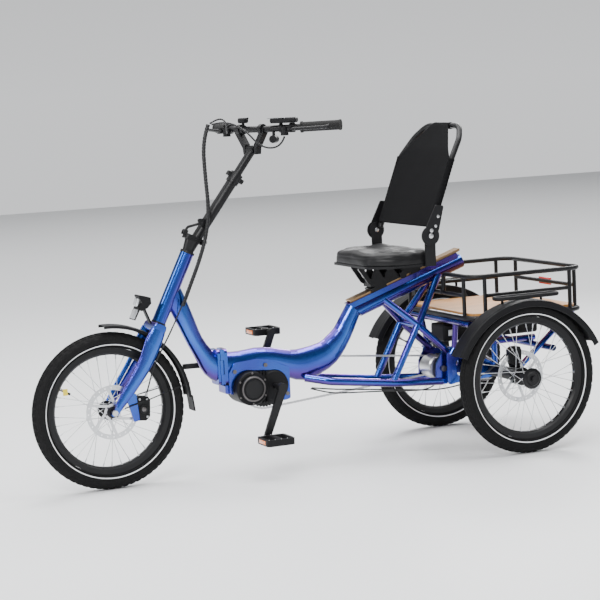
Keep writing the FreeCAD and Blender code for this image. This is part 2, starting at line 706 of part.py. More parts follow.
def basket_frame():
    """The rails and posts round the deck; the front has a gap with a lowered rail."""
    gap = 57.0
    loop = []
    for x, y, z in ((RACK_FRONT, gap, RACK_MID), (RACK_FRONT, gap, RACK_TOP),
                    (RACK_FRONT, RACK_HALF, RACK_TOP), (RACK_REAR, RACK_HALF, RACK_TOP)):
        loop.append(V(x, y, z))
    rails = [basket_loop(loop)]
    near = 202.0
    inset = RACK_HALF - near
    for side in (-1, 1):
        for x in (RACK_FRONT, RACK_REAR):
            rails.append(rod(V(x, side * near, RACK_LOW + 8), V(x, side * near, RACK_TOP), RAIL_R - 1))
        for x in (RACK_FRONT + inset, RACK_REAR - inset):
            foot = V(x, side * RACK_HALF, RACK_LOW + 8)
            rails.append(rod(foot, V(x, side * RACK_HALF, RACK_TOP), RAIL_R - 1))
        rails.append(rod(V(RACK_FRONT + inset, side * RACK_HALF, RACK_MID),
                         V(RACK_REAR - inset, side * RACK_HALF, RACK_MID), RAIL_R - 1))
        start = V(RACK_FRONT, side * gap, RACK_MID)
        rails.append(rod(start, V(RACK_FRONT, side * near, RACK_MID), RAIL_R - 1))
    rails.append(rod(V(RACK_REAR, -near, RACK_MID), V(RACK_REAR, near, RACK_MID), RAIL_R - 1))
    base = rack_base()
    return fuse(*rails).cut(base)


def basket_loop(points):
    """The top rail: wide bends at the basket's corners and tight ones beside the front gap."""
    right = [V(RACK_FRONT, -10, RACK_MID)] + points[:4] + [V(RACK_REAR, 0, RACK_TOP)]
    bends = (20, 20, 50, 50)
    edges = []
    place = right[0]
    for i, radius in enumerate(bends, 1):
        arc = bend_edges(right[i - 1:i + 2], radius)[1]
        edges.append(Part.LineSegment(place, arc.Vertexes[0].Point).toShape())
        edges.append(arc)
        place = arc.Vertexes[-1].Point
    edges.append(Part.LineSegment(place, right[-1]).toShape())
    section = Part.Wire(Part.makeCircle(RAIL_R, right[0], Y_AXIS))
    half = Part.Wire(edges).makePipeShell([section], True, True)
    return fuse(half, flip(half))


def battery():
    return block(1234, 1620, -50, 50, 374, 434, 9)


GUARD_R = 304.0
GUARD_Z = 230.0


def guard(x, z, r, start, stop, half, drop, wall, y=0.0):
    """A mudguard: a shallow channel bent round the wheel, from one angle to another."""
    inner = r - wall
    profile = [(inner - drop, half), (r - drop, half + wall), (r - 3, half + wall - 2), (r, half - 12),
               (r, 12 - half), (r - 3, 2 - half - wall), (r - drop, -half - wall), (inner - drop, -half),
               (inner - 3, -half), (inner, 12 - half), (inner, half - 12), (inner - 3, half)]
    body = turned([(s, y + side) for s, side in profile], x, z, stop - start)
    return placed_about(body, x, z, -start)


def placed_about(shape, x, z, degrees):
    """Turned about the y axis through (x, z)."""
    out = shape.copy()
    out.rotate(V(x, 0, z), Y_AXIS, degrees)
    return out


def rear_fender():
    """Right mudguard, its stays to the rack and the rail along its top."""
    shell = guard(WHEELBASE, GUARD_Z, GUARD_R, 25.8, 154.2, 38, 22, 2.5, HALF_TRACK)
    stays = []
    for x in (1310, 1504):
        stays.append(rod(V(x, RACK_HALF + 5, RACK_LOW + 6), V(x, 286, RACK_LOW + 38), 6))
    z = 545.0
    loop = [V(1290, 302, z), V(1530, 302, z), V(1530, 346, z), V(1290, 346, z)]
    hand = pipe(loop, 7, 21, closed=True)
    feet = [rod(V(x, 302, 505), V(x, 302, z), 4.5) for x in (1330, 1484)]
    inner = guard_void()
    rail = rod(V(RACK_FRONT, RACK_HALF, RACK_LOW), V(RACK_REAR, RACK_HALF, RACK_LOW), RAIL_R)
    return fuse(shell, hand, *[part.cut([inner, rail]) for part in feet + stays])


def guard_void():
    """The space inside a mudguard's shell."""
    return across(WHEELBASE, GUARD_Z, HALF_TRACK - 37.9, HALF_TRACK + 37.9, GUARD_R - 4.5)


def front_fender():
    """Front mudguard, its mud flap and the wire stays to the fork ends."""
    shell = guard(0, WHEEL_R, 287, 4, 92, 29, 10, 2, 0)
    flap = slab([(284.5, 282), (288.5, 285), (296, 232), (291, 231)], -26, 26)
    stays = []
    for side in (-1, 1):
        run = [V(276, side * 31, 330), V(112, side * 62.8, 292), V(34, side * 62.8, 274)]
        stays.append(pipe(run, 2.0, 40))
    return fuse(shell, flap, *stays)


# ---- fork and steering ---------------------------------------------------------------------
def fork():
    """Crown, two blades with their ends and brake mount, and the steerer."""
    stations = [(172, 518, 62, 26, 13.5, 45), (150, 475, 60, 30, 14, 46.5), (124, 422, 58, 27, 13.5, 48),
                (88, 370, 55, 23.5, 12.5, 50), (50, 320, 52.5, 20, 11, 51.5), (16, 276, 51, 14, 9.5, 52)]
    blade = shaped(stations)
    crown = ball_nose(176, 523, 24, -54, 54, 8)
    end = slab([(-11, 256), (-6, 250), (12, 252), (24, 268), (44, 300), (26, 306), (4, 276)], 44.5, 59.5, 3)
    mount = slab([(40, 320), (78, 318), (86, 228), (66, 224), (56, 262), (48, 292)], -58, -49.5, 4)
    steerer = on_head(rod(V(0, 0, -HEAD_LENGTH - 26), V(0, 0, STEM_FLANGE - 10), STEERER_R))
    race = on_head(rod(V(0, 0, -HEAD_LENGTH - 22), V(0, 0, -HEAD_LENGTH - 7.5), 21))
    core = crown.cut(across(0, WHEEL_R, -34, 34, 290))
    above = on_head(block(-60, 60, -70, 70, -HEAD_LENGTH - 7.4, 60 - HEAD_LENGTH))
    core = fuse(core, blade, flip(blade)).cut(above)
    body = fuse(core, end, flip(end), mount, steerer, race)
    body = body.cut(across(0, WHEEL_R, -80, 80, AXLE_R))
    return body.Solids[0]


def stem_base():
    """The clamp on the steerer, flared to the stem's lower flange, with the middle hinge knuckle."""
    top = STEM_FLANGE
    neck = Part.makeCone(19, 25, top - 17, V(0, 0, 9), V(0, 0, 1))
    flange = block(-34, 26, -22, 22, top - 9, top)
    upright = [e for e in flange.Edges if abs(e.tangentAt(e.FirstParameter).z) > 0.9]
    flange = flange.makeFillet(12, upright)
    web = block(20, 36, -9.7, 9.7, top - 9, top + 3)
    barrel = rod(V(36, -9.7, top + 3), V(36, 9.7, top + 3), 8)
    relief = rod(V(36, -30, top + 3), V(36, -9.7, top + 3), 8.6)
    other = rod(V(36, 9.7, top + 3), V(36, 30, top + 3), 8.6)
    pin = rod(V(36, -22, top + 3), V(36, 22, top + 3), 4)
    above = block(10, 30, -10, 10, top, top + 12)
    web = web.cut(above)
    body = fuse(fuse(neck, flange).cut([relief, other]), web, barrel, pin)
    return on_head(body.cut(rod(V(0, 0, 0), V(0, 0, top - 10), STEERER_R)))


def stem_post():
    """The folding stem: flange, hinge knuckles, latch ears, tube and telescope clamp."""
    top = STEM_FLANGE
    flange = block(-34, 27, -22, 22, top + 0.4, top + 9)
    upright = [e for e in flange.Edges if abs(e.tangentAt(e.FirstParameter).z) > 0.9]
    flange = flange.makeFillet(12, upright)
    parts = [flange.cut(rod(V(-36, -6, top + 13), V(-36, 6, top + 13), 7.6))]
    for side in (-1, 1):
        parts.append(rod(V(36, side * 10.1, top + 3), V(36, side * 22, top + 3), 8))
        parts.append(block(22, 36, *sorted((side * 10.1, side * 22)), top + 3, top + 9))
        parts.append(block(-43, -29, *sorted((side * 6, side * 12)), top + 1, top + 13))
        parts.append(rod(V(-36, side * 6, top + 13), V(-36, side * 12, top + 13), 7))
    parts.append(rod(V(-36, -12, top + 13), V(-36, 12, top + 13), 3))
    lower = on_head(fuse(*parts))
    tube = on_stem(rod(V(0, 0, -30), V(0, 0, COLLAR - 10), STEM_R))
    floor = on_head(block(-90, 90, -60, 60, top - 80, top + 0.4))
    collar = on_stem(rod(V(0, 0, COLLAR - 22), V(0, 0, COLLAR + 14), 22))
    ears = on_stem(block(-33, 33, -9, 9, COLLAR - 8, COLLAR + 8, 3))
    bore = on_stem(rod(V(0, 0, 22), V(0, 0, COLLAR - 20), POST_R + 1.6))
    neck = on_stem(rod(V(0, 0, COLLAR - 21), V(0, 0, COLLAR + 20), POST_R + RUN))
    body = fuse(lower, tube.cut(floor), collar, ears)
    room = on_head(rod(V(36, -10.1, top + 3), V(36, 10.1, top + 3), 8.6))
    pin_hole = on_head(rod(V(36, -23, top + 3), V(36, 23, top + 3), 4 + RUN))
    return body.cut([bore, neck, room, pin_hole])


def stem_latch():
    """The stem's locking lever, which lies back against the tube's left side when shut."""
    base = STEM_FLANGE + 13
    boss = rod(V(-36, -5.6, base), V(-36, 5.6, base), 7)
    arm = pipe([V(-36, 0, base), V(-33, 0, base + 16), V(-20, -21, base + 30), V(2, -26, base + 48)], 4.5, 9)
    tab = Part.Ellipse(V(0, 0, 0), 23, 11)
    tab = Part.Face(Part.Wire(tab.toShape())).extrude(V(0, 0, 6))
    tab.Placement = FreeCAD.Placement(V(4, -23, base + 49), FreeCAD.Rotation(V(1, 0, 0), 90))
    body = fuse(boss, arm, tab)
    return on_head(body.cut(rod(V(-36, -20, base), V(-36, 20, base), 3 + RUN)))


def upper_post():
    """The telescoping tube with the barrel that the handlebar's riser tilts on."""
    tube = on_stem(rod(V(0, 0, 118), V(0, 0, POST_TOP), POST_R, POST_R - 2.5))
    barrel = on_riser(rod(V(0, -16, 0), V(0, 16, 0), 15))
    bore = on_riser(rod(V(0, -20, 0), V(0, 20, 0), 6 + RUN))
    return fuse(tube, barrel).cut(bore)


def bar_points():
    reach = 266.0
    end = V(reach * math.sin(math.radians(SWEEP)), 60 + reach * math.cos(math.radians(SWEEP)), BAR_HIGH + 5)
    return [V(end.x, -end.y, end.z), V(0, -60, BAR_HIGH), V(0, 60, BAR_HIGH), end]


def handlebar():
    return on_riser(pipe(bar_points(), BAR_R, 90, BAR_R - 2))


def on_grip(side, along, ahead=0.0, above=0.0):
    """A point by the swept part of the bar: along it from its bend, ahead of it and above it."""
    sweep = math.radians(SWEEP)
    start = V(0, side * 60, BAR_HIGH)
    out = V(math.sin(sweep), side * math.cos(sweep), 5 / 266.0)
    front = V(-math.cos(sweep), side * math.sin(sweep), 0)
    return start + out * along + front * ahead + V(0, 0, above)


def grips():
    """A ribbed grip with a flared collar on each end of the bar."""
    parts = []
    for side in (-1, 1):
        inner = on_grip(side, 130)
        outer = on_grip(side, 268)
        sleeve = rod(inner, outer, GRIP_R)
        collar = rod(inner, on_grip(side, 136), 19)
        cap = rod(on_grip(side, 262), outer, 18)
        body = fuse(sleeve, collar, cap)
        parts.append(on_riser(body.cut(rod(on_grip(side, 125), on_grip(side, 266), BAR_R))))
    return parts


def bar_riser():
    """Two arms from the tilting pin up to the clamps on the bar."""
    outline = [(21, -15), (30, -15), (33, 6), (67, BAR_HIGH - 12), (67, BAR_HIGH + 2), (49, BAR_HIGH + 2),
               (49, BAR_HIGH - 8), (21, 18)]
    parts = [rod(V(0, -28, 0), V(0, 28, 0), 6)]
    for side in (-1, 1):
        points = [V(-12, side * y, z) for y, z in outline]
        arm = Part.Face(Part.makePolygon(points + points[:1])).extrude(V(24, 0, 0))
        parts.append(arm)
        parts.append(rod(V(0, side * 45, BAR_HIGH), V(0, side * 59, BAR_HIGH), 18))
    body = fuse(*parts)
    straight = rod(V(0, -59, BAR_HIGH), V(0, 59, BAR_HIGH), BAR_R)
    bent = pipe(bar_points(), BAR_R, 90)
    return on_riser(body.cut([straight, bent]))


BRAKE_REACH = 34.0
BRAKE_AT = 100.0


def brake_lever(side):
    """A blade ahead of the grip, pivoting on its perch."""
    pivot = on_grip(side, BRAKE_AT, BRAKE_REACH, -4)
    boss = rod(pivot + V(0, 0, -5), pivot + V(0, 0, 5), 8.5)
    path = [pivot, on_grip(side, BRAKE_AT + 30, BRAKE_REACH + 12, -4)]
    path.append(on_grip(side, BRAKE_AT + 132, BRAKE_REACH + 14, -3))
    blade = pipe(path, 5.5, 60)
    tip = Part.makeSphere(7.5, path[-1])
    body = fuse(boss, blade, tip)
    return on_riser(body.cut(rod(pivot + V(0, 0, -20), pivot + V(0, 0, 20), 3 + RUN)))


def brake_perch(side):
    """The lever's clamp, its fluid body and the pin its blade turns on."""
    pivot = on_grip(side, BRAKE_AT, BRAKE_REACH, -4)
    clamp = rod(on_grip(side, BRAKE_AT - 8), on_grip(side, BRAKE_AT + 8), 16)
    cup = rod(on_grip(side, BRAKE_AT - 22, 20, -24), on_grip(side, BRAKE_AT - 22, 20, 4), 13)
    plate = block(-8, BRAKE_REACH, -7, 7, 6, 10)
    ear = rod(V(0, 0, 6), V(0, 0, 10), 8)
    lower = [block(-12, BRAKE_REACH, -7, 7, -10, -6), rod(V(0, 0, -10), V(0, 0, -6), 8)]
    fork_ends = fuse(plate, ear, rod(V(0, 0, -8), V(0, 0, 8), 3), *lower)
    fork_ends = placed(fork_ends, pivot, V(0, 0, 1), -side * SWEEP)
    return fuse(clamp, cup, fork_ends).cut(pipe(bar_points(), BAR_R, 90))


def controls():
    """Brake perches, display box, bell and horn, each clamped to the bar."""
    parts = [brake_perch(-1), brake_perch(1)]
    bar = pipe(bar_points(), BAR_R, 90)
    box = block(-45, 45, -20, 20, 17, 35, 6)
    box = placed(box, on_grip(-1, 72), V(0, 0, 1), SWEEP - 90)
    strap = fuse(rod(on_grip(-1, 56), on_grip(-1, 66), 14.5), rod(on_grip(-1, 61), on_grip(-1, 61, 0, 20), 6))
    parts.append(fuse(box, strap).cut(bar))
    bell_at = V(0, 37, BAR_HIGH)
    ring = rod(bell_at + V(0, -6, 0), bell_at + V(0, 6, 0), 15)
    stalk = rod(bell_at, bell_at + V(0, 0, 26), 5)
    dome = rod(bell_at + V(0, 0, 22), bell_at + V(0, 0, 40), 18)
    dome = dome.makeFillet(6, [e for e in dome.Edges if e.Curve.TypeId == "Part::GeomCircle"])
    thumb = rod(bell_at + V(0, 0, 30), bell_at + V(-6, -30, 38), 3.5)
    parts.append(fuse(ring, stalk, dome, thumb).cut(bar))
    horn = rod(V(4, -96, BAR_HIGH - 34), V(30, -84, BAR_HIGH - 34), 13)
    hanger = rod(V(16, -90, BAR_HIGH - 30), V(16, -90, BAR_HIGH), 5)
    parts.append(fuse(horn, hanger).cut(bar).cut(parts[2]))
    return [on_riser(part) for part in parts]


# ---- cables --------------------------------------------------------------------------------
def cable_bundle():
    """The wrapped bundle from the bar to the frame, and the hoses that join it."""
    main = [V(404, 0, 1182), V(380, -4, 1130), V(376, -20, 1015), V(376, -38, 904), V(362, -39, 819),
            V(333, -38, 736), V(290, -34, 640), V(268, -30, 588)]
    over = [V(413, 5, 1186), V(452, 18, 1204), V(494, 60, 1186), V(508, 98, 1152), V(518, 121, 1146)]
    near = [V(413, -8, 1182), V(450, -22, 1192), V(508, -52, 1166), V(556, -88, 1096), V(616, -112, 1096),
            V(627, -120, 1132)]
    parts = [cord(main, 7.0, "cable bundle")]
    parts.append(cord(over, 3.0, "right brake hose"))
    parts.append(cord(near, 3.0, "left brake hose"))
    return parts


def front_brake_hose():
    points = [V(270, -45, 612), V(225, -52, 530), V(165, -62, 440), V(142, -61, 400), V(127, -58, 350),
              V(118, -46, 312)]
    return [cord(points, 2.5, "front brake hose")]


def rear_brake_hoses():
    left = [V(716, -44, 266), V(780, -74, 258), V(1010, -78, 232), V(1190, -88, 212), V(1290, -150, 240),
            V(1340, -225, 300), V(1358, -262, 340)]
    right = [V(716, -36, 262), V(790, -56, 240), V(1010, -64, 226), V(1180, -30, 205), V(1290, 90, 226),
             V(1336, 222, 296), V(1358, 262, 340)]
    return [cord(left, 2.5, "left rear brake hose"), cord(right, 2.5, "right rear brake hose")]


def headlight():
    """Lamp body over the wheel, its face plate and the bracket down to the fork crown."""
    outline = [(114, 639), (160, 626), (161, 606), (148, 592), (125, 583), (118, 591), (131, 609)]
    body = slab(outline, -22, 22, 4)
    plate = slab([(124, 598), (117, 597), (97, 557), (101, 555)], -26, 26)
    bracket = slab([(136, 594), (141, 595), (163, 540), (158, 537)], -11, 11)
    bracket = bracket.cut(across(176, 523, -54, 54, 24))
    return fuse(body, plate, bracket)


# ---- seat ----------------------------------------------------------------------------------
PAN_LOW = 664.0
PAN_HIGH = 672.0


def seat_bracket():
    """Two shoes on the rail and the cut-out side plates that carry the seat's base."""
    top = RAIL_TOP + 0.4
    shoes = []
    for start, stop in ((82, 142), (244, 284)):
        parts = [block(start, stop, -27, 27, top, top + 6)]
        for side in (-1, 1):
            parts.append(block(start, stop, *sorted((side * 20.5, side * 27)), 36.6, top + 1))
            parts.append(block(start, stop, *sorted((side * 17, side * 21)), 36.6, RAIL_TOP - 4.4))
        shoes.append(on_beam(fuse(*parts)))
    plate = slab([(916, 663.6), (956, 604), (985, 588), (1040, 596), (1190, 650), (1186, 663.6)], 25, 31, 6)
    below = on_beam(block(-80, 420, -60, 60, top - 60, top + 0.5))
    windows = [slab(corners, 20, 36, 3) for corners in
               ([(942, 654), (984, 654), (968, 614)], [(996, 655), (1034, 655), (1018, 616)],
                [(1048, 655), (1092, 655), (1074, 626)])]
    plate = plate.cut([below] + windows)
    front = block(966, 978, -27, 27, 590, 612)
    rear = block(1120, 1132, -27, 27, 646, 663)
    knob = across(1088, 625, -42, -31, 13)
    ties = [part.cut(below) for part in (front, rear)]
    return fuse(*shoes, plate, flip(plate), *ties, knob)


def seat_plan(front_half, grow, z0, z1):
    """The seat's outline seen from above: narrow in front, chamfered out to full width."""
    half = 190 + grow
    points = []
    for x, y in ((905 - grow, front_half), (975, half), (1128 + grow, half), (1128 + grow, -half),
                 (975, -half), (905 - grow, -front_half)):
        points.append(V(x, y, z0))
    wire = Part.Wire(bend_edges(points, 30, closed=True))
    return Part.Face(wire).extrude(V(0, 0, z1 - z0))


def seat_base():
    """The pan under the cushion and the uprights that hold the backrest's pivots."""
    pan = seat_plan(134, 3, PAN_LOW, PAN_HIGH)
    upright = slab([(1092, PAN_LOW), (1132, PAN_LOW), (1132, PIVOT_Z), (1092, PIVOT_Z)], 200.5, 206)
    disc = across(PIVOT_X, PIVOT_Z, 200.5, 206, 28)
    foot = block(1092, 1132, 185, 206, PAN_LOW, PAN_HIGH)
    pin = across(PIVOT_X, PIVOT_Z, 201, 216, 6)
    side = fuse(upright, disc, foot, pin)
    return fuse(pan, side, flip(side))


def seat_cushion():
    solid = seat_plan(130, 0, PAN_HIGH, 725)
    rims = [e for e in solid.Edges if abs(e.BoundBox.ZMin - 725) < 0.01 and abs(e.BoundBox.ZMax - 725) < 0.01]
    return solid.makeFillet(14, rims)


BACK_R = 10.0
BACK_Y = 190.0


def backrest_frame():
    """The bent tube and the two plates it pivots on."""
    points = [V(1122, -BACK_Y, 778), V(1216, -BACK_Y, 1025), V(1262, -165, 1092), V(1291, -118, 1133),
              V(1291, 118, 1133), V(1262, 165, 1092), V(1216, BACK_Y, 1025), V(1122, BACK_Y, 778)]
    tube = pipe(points, BACK_R, 70)
    outline = [(1084, 762), (1128, 752), (1146, 790), (1166, 868), (1136, 872), (1098, 800)]
    plate = slab(outline, 206.5, 212.5, 6)
    disc = across(PIVOT_X, PIVOT_Z, 206.5, 212.5, 33)
    bolts = [across(x, z, 197, 207, 5) for x, z in ((1131.5, 800), (1142, 832))]
    hole = across(PIVOT_X, PIVOT_Z, 190, 215, 6 + RUN)
    side = fuse(plate, disc, *bolts).cut(hole)
    return fuse(tube, side, flip(side))


def backrest_fabric():
    """The sling, across the front of the tube, narrowing to the top bar."""
    thick = 2.4
    line = [(1114.6, 797), (1202.8, 1028), (1247.2, 1096), (1278.2, 1139)]
    back = [(x + thick, z - 0.6) for x, z in line]
    sheet = slab(line + back[::-1], -200, 200)
    profile = [(-197, 790), (-199, 1032), (-150, 1090), (-62, 1150)]
    points = [V(1050, y, z) for y, z in profile] + [V(1050, -y, z) for y, z in profile[::-1]]
    front = Part.Face(Part.makePolygon(points + points[:1])).extrude(V(300, 0, 0))
    return sheet.common(front).Solids[0]


# ---- fasteners -----------------------------------------------------------------------------
def frame_fasteners():
    """Bolt heads on the motor bracket and nuts on the gear hub's axle."""
    parts = []
    for x, z in ((438, 350), (551, 362), (628, 256)):
        parts.append(across(x, z, 37, 41, 7))
        parts.append(across(x, z, -41, -37, 7))
    for side in (-1, 1):
        parts.append(across(GEAR_X, GEAR_Z, side * 70, side * 78, 10))
    return parts


def wheel(x, y, flange_y, flange_r):
    return {"tyre": [tyre(x, y)], "rim": [rim(x, y)], "spokes": spokes(x, y, flange_y, flange_r)}


def nodes():
    """Every part by name."""
    out = {
        "head_tube": [head_tube()],
        "down_tube": [down_tube()],
        "fold_lever": [fold_lever()],
        "main_tube": [main_tube()],
        "seat_beam": [seat_beam()],
        "seat_rail": [seat_rail()],
        "motor_bracket": motor_bracket(),
        "motor_housing": [motor_housing()],
        "rear_triangle": rear_triangle(),
        "rear_carriage": [rear_carriage()],
        "axle_housing": both(axle_housing()),
        "rack_base": [rack_base()],
        "deck_board": [deck_board()],
        "basket_frame": [basket_frame()],
        "battery": [battery()],
        "rear_fenders": both(rear_fender()),
        "rear_calipers": both(rear_caliper()),
        "chains": chains(),
        "rear_brake_hoses": rear_brake_hoses(),
        "frame_fasteners": frame_fasteners(),
        "fork": [fork()],
        "stem_base": [stem_base()],
        "front_fender": [front_fender()],
        "headlight": [headlight()],
        "front_caliper": [front_caliper()],
        "front_brake_hose": front_brake_hose(),
        "front_axle": [front_axle()],
        "stem_post": [stem_post()],
        "stem_latch": [stem_latch()],
        "upper_post": [upper_post()],
        "bar_riser": [bar_riser()],
        "handlebar": [handlebar()],
        "grips": grips(),
        "controls": controls(),
        "cable_bundle": cable_bundle(),
        "brake_lever_left": [brake_lever(-1)],
        "brake_lever_right": [brake_lever(1)],
        "crank_arms": [crank_arms()],
        "chainring": [chainring()],
        "pedal_left": [pedal(-1)],
        "pedal_right": [pedal(1)],
        "gear_hub": [gear_hub()],
        "differential": [differential()],
        "seat_bracket": [seat_bracket()],
        "seat_base": [seat_base()],
        "seat_cushion": [seat_cushion()],
        "backrest_frame": [backrest_frame()],
        "backrest_fabric": [backrest_fabric()],
    }
    front = wheel(0, 0, (-27, 27), 27)
    front["hub"] = [front_hub()]
    front["spokes"].append(rotor(0, FRONT_ROTOR_Y, 19.5))
    right = wheel(WHEELBASE, HALF_TRACK, (-32, 32.5), 28.5)
    right["hub"] = [rear_hub()]
    right["spokes"].append(rotor(WHEELBASE, REAR_ROTOR_Y, 19.5))
    for piece, shapes in front.items():
        out["front_" + piece] = shapes
    for piece, shapes in right.items():
        out["right_" + piece] = shapes
        out["left_" + piece] = [flip(shape) for shape in shapes]
    return out


def export():
    os.makedirs("parts", exist_ok=True)
    for name, shapes in nodes().items():
        whole = shapes[0] if len(shapes) == 1 else Part.makeCompound(shapes)
        whole.translate(V(-MID_X, 0, 0))
        whole.exportStep("parts/%s.step" % name)


export()
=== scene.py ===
"""The looks of the adult tricycle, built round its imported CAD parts."""
import math

import bmesh
import bpy
from mathutils import Matrix, Vector


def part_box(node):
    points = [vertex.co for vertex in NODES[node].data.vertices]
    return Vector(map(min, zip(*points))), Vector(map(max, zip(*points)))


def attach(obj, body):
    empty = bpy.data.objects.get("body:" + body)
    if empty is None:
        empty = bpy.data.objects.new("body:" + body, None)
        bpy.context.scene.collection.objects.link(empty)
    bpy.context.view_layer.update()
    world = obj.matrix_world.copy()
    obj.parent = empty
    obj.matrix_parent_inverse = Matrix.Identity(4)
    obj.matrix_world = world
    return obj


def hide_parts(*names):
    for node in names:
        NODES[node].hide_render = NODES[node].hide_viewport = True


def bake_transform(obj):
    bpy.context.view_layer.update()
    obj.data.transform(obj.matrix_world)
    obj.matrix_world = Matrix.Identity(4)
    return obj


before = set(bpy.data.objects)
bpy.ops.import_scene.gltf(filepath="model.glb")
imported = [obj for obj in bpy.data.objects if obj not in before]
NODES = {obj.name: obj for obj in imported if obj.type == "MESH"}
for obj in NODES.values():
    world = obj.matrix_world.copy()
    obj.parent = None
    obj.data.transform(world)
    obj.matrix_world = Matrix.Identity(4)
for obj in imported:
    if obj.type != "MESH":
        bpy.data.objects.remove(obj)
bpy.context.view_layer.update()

FRONT_AXLE_X = -0.7145     # front axle in the frame's x, metres
SPIN = Vector((0, 1, 0))   # the wheels' and sprockets' axis

# millimetres, measured behind the front axle and above the floor, as the design has them
AXLE_Z = 262
WHEELBASE = 1407
CRANK = (578, 289)
GEAR = (1216, 284)
CHAINRING_Y = 46
DRIVE_Y = -47
HEAD_TOP = (303.6, 0, 758.7)
HEAD_TILT = 27             # degrees back from upright
HEAD_LENGTH = 0.246        # metres
BEAM_FOOT = (908, 0, 508)
BEAM_TILT = 18.6           # degrees above level
BAR_TWIST = 22             # the bar is turned this far, left side back
BAR_SWEEP = 28             # degrees
BACK_PIVOT = (1112, 768)
MOTOR_CENTRE = (490, 290)


def at(x, y, z):
    """A point given in millimetres behind the front axle, to the right and above the floor."""
    return Vector((x / 1000 + FRONT_AXLE_X, y / 1000, z / 1000))


# ---- camera, floor and light -------------------------------------------------------------
CAMERA_LENS = 113.65       # millimetres, on a 36 mm wide sensor
SENSOR_WIDTH = 36.0
CAMERA_PLACE = (-2.6228, -5.9078, 1.2994)
CAMERA_AZIMUTH = 23.886    # degrees from +Y towards +X
CAMERA_DROP = 6.471        # degrees below level
CAMERA_ROLL = -2.740
FLOOR_WIDTH = 30
VIEW_DEPTH = 60.0


def make_camera():
    """The view from the front left, a little above the seat and slightly tilted."""
    data = bpy.data.cameras.new("camera")
    data.lens = CAMERA_LENS
    data.sensor_width = SENSOR_WIDTH
    data.clip_end = VIEW_DEPTH
    camera = bpy.data.objects.new("camera", data)
    bpy.context.scene.collection.objects.link(camera)
    turn = (Matrix.Rotation(math.radians(-CAMERA_AZIMUTH), 4, "Z")
            @ Matrix.Rotation(math.radians(90 - CAMERA_DROP), 4, "X")
            @ Matrix.Rotation(math.radians(CAMERA_ROLL), 4, "Z"))
    camera.matrix_world = Matrix.Translation(CAMERA_PLACE) @ turn
    bpy.context.scene.camera = camera


def area_light(name, place, target, size, power):
    data = bpy.data.lights.new(name, "AREA")
    data.shape = "RECTANGLE"
    data.size = size[0]
    data.size_y = size[1]
    data.energy = power
    lamp = bpy.data.objects.new(name, data)
    lamp.location = place
    lamp.rotation_mode = "QUATERNION"
    lamp.rotation_quaternion = (Vector(target) - Vector(place)).to_track_quat("-Z", "Y")
    bpy.context.scene.collection.objects.link(lamp)


def make_stage():
    bpy.ops.mesh.primitive_plane_add(size=FLOOR_WIDTH, location=(0, 0, 0))
    floor = bpy.context.object
    floor.name = "floor"
    paint = node_material("floor_white", (0.86, 0.87, 0.88), roughness=0.5)
    floor.data.materials.append(paint)
    studio_sky()
    area_light("key", (-2.6, -3.4, 3.4), (0, 0, 0.5), (2.6, 0.9), 190)
    area_light("top", (0.3, 0.2, 3.6), (0, 0, 0.4), (4.5, 1.0), 120)
    area_light("ceiling", (1.5, 4.0, 7.0), (1.5, 4.0, 0), (16, 16), 1500)
    area_light("fill", (-4.0, 0.5, 1.8), (0, 0, 0.6), (0.8, 2.4), 60)
    area_light("rim", (2.8, 2.6, 2.6), (0, 0, 0.6), (2.0, 1.0), 90)


def studio_sky():
    """A pale band at the horizon with a darker sky over it, as a studio's walls and ceiling are."""
    world = bpy.data.worlds.new("studio")
    bpy.context.scene.world = world
    world.use_nodes = True
    tree = world.node_tree
    sky = tree.nodes["Background"]
    source = tree.nodes.new("ShaderNodeTexCoord")
    split = tree.nodes.new("ShaderNodeSeparateXYZ")
    band = tree.nodes.new("ShaderNodeValToRGB")
    tree.links.new(source.outputs["Generated"], split.inputs["Vector"])
    tree.links.new(split.outputs["Z"], band.inputs["Fac"])
    tree.links.new(band.outputs["Color"], sky.inputs["Color"])
    stops = band.color_ramp
    stops.elements[0].position = 0.0
    stops.elements[0].color = (0.90, 0.91, 0.93, 1)
    stops.elements[1].position = 1.0
    stops.elements[1].color = (0.55, 0.57, 0.60, 1)
    for place, level in ((0.10, 0.72), (0.28, 0.14), (0.62, 0.10), (0.80, 0.45)):
        stops.elements.new(place).color = (level, level * 1.01, level * 1.03, 1)
    sky.inputs["Strength"].default_value = 1.0


# ---- materials ---------------------------------------------------------------------------
def node_material(name, colour, roughness=0.5, metallic=0.0, **extra):
    material = bpy.data.materials.new(name)
    material.use_nodes = True
    shader = material.node_tree.nodes["Principled BSDF"]
    shader.inputs["Base Color"].default_value = (*colour, 1)
    shader.inputs["Roughness"].default_value = roughness
    shader.inputs["Metallic"].default_value = metallic
    for key, value in extra.items():
        shader.inputs[key.replace("_", " ")].default_value = value
    return material


def link(material, a, out, b, into):
    material.node_tree.links.new(a.outputs[out], b.inputs[into])


def add(material, kind, **values):
    node = material.node_tree.nodes.new(kind)
    for key, value in values.items():
        if hasattr(node, key):
            setattr(node, key, value)
        else:
            node.inputs[key.replace("_", " ")].default_value = value
    return node


def shader_of(material):
    return material.node_tree.nodes["Principled BSDF"]


def coordinates(material, stretch=(1, 1, 1)):
    source = add(material, "ShaderNodeTexCoord")
    mapping = add(material, "ShaderNodeMapping")
    mapping.inputs["Scale"].default_value = stretch
    link(material, source, "Object", mapping, "Vector")
    return mapping


def ramp(material, source, out, stops):
    node = add(material, "ShaderNodeValToRGB")
    band = node.color_ramp
    while len(band.elements) < len(stops):
        band.elements.new(0.5)
    for element, (place, colour) in zip(band.elements, stops):
        element.position = place
        element.color = (*colour, 1)
    link(material, source, out, node, "Fac")
    return node


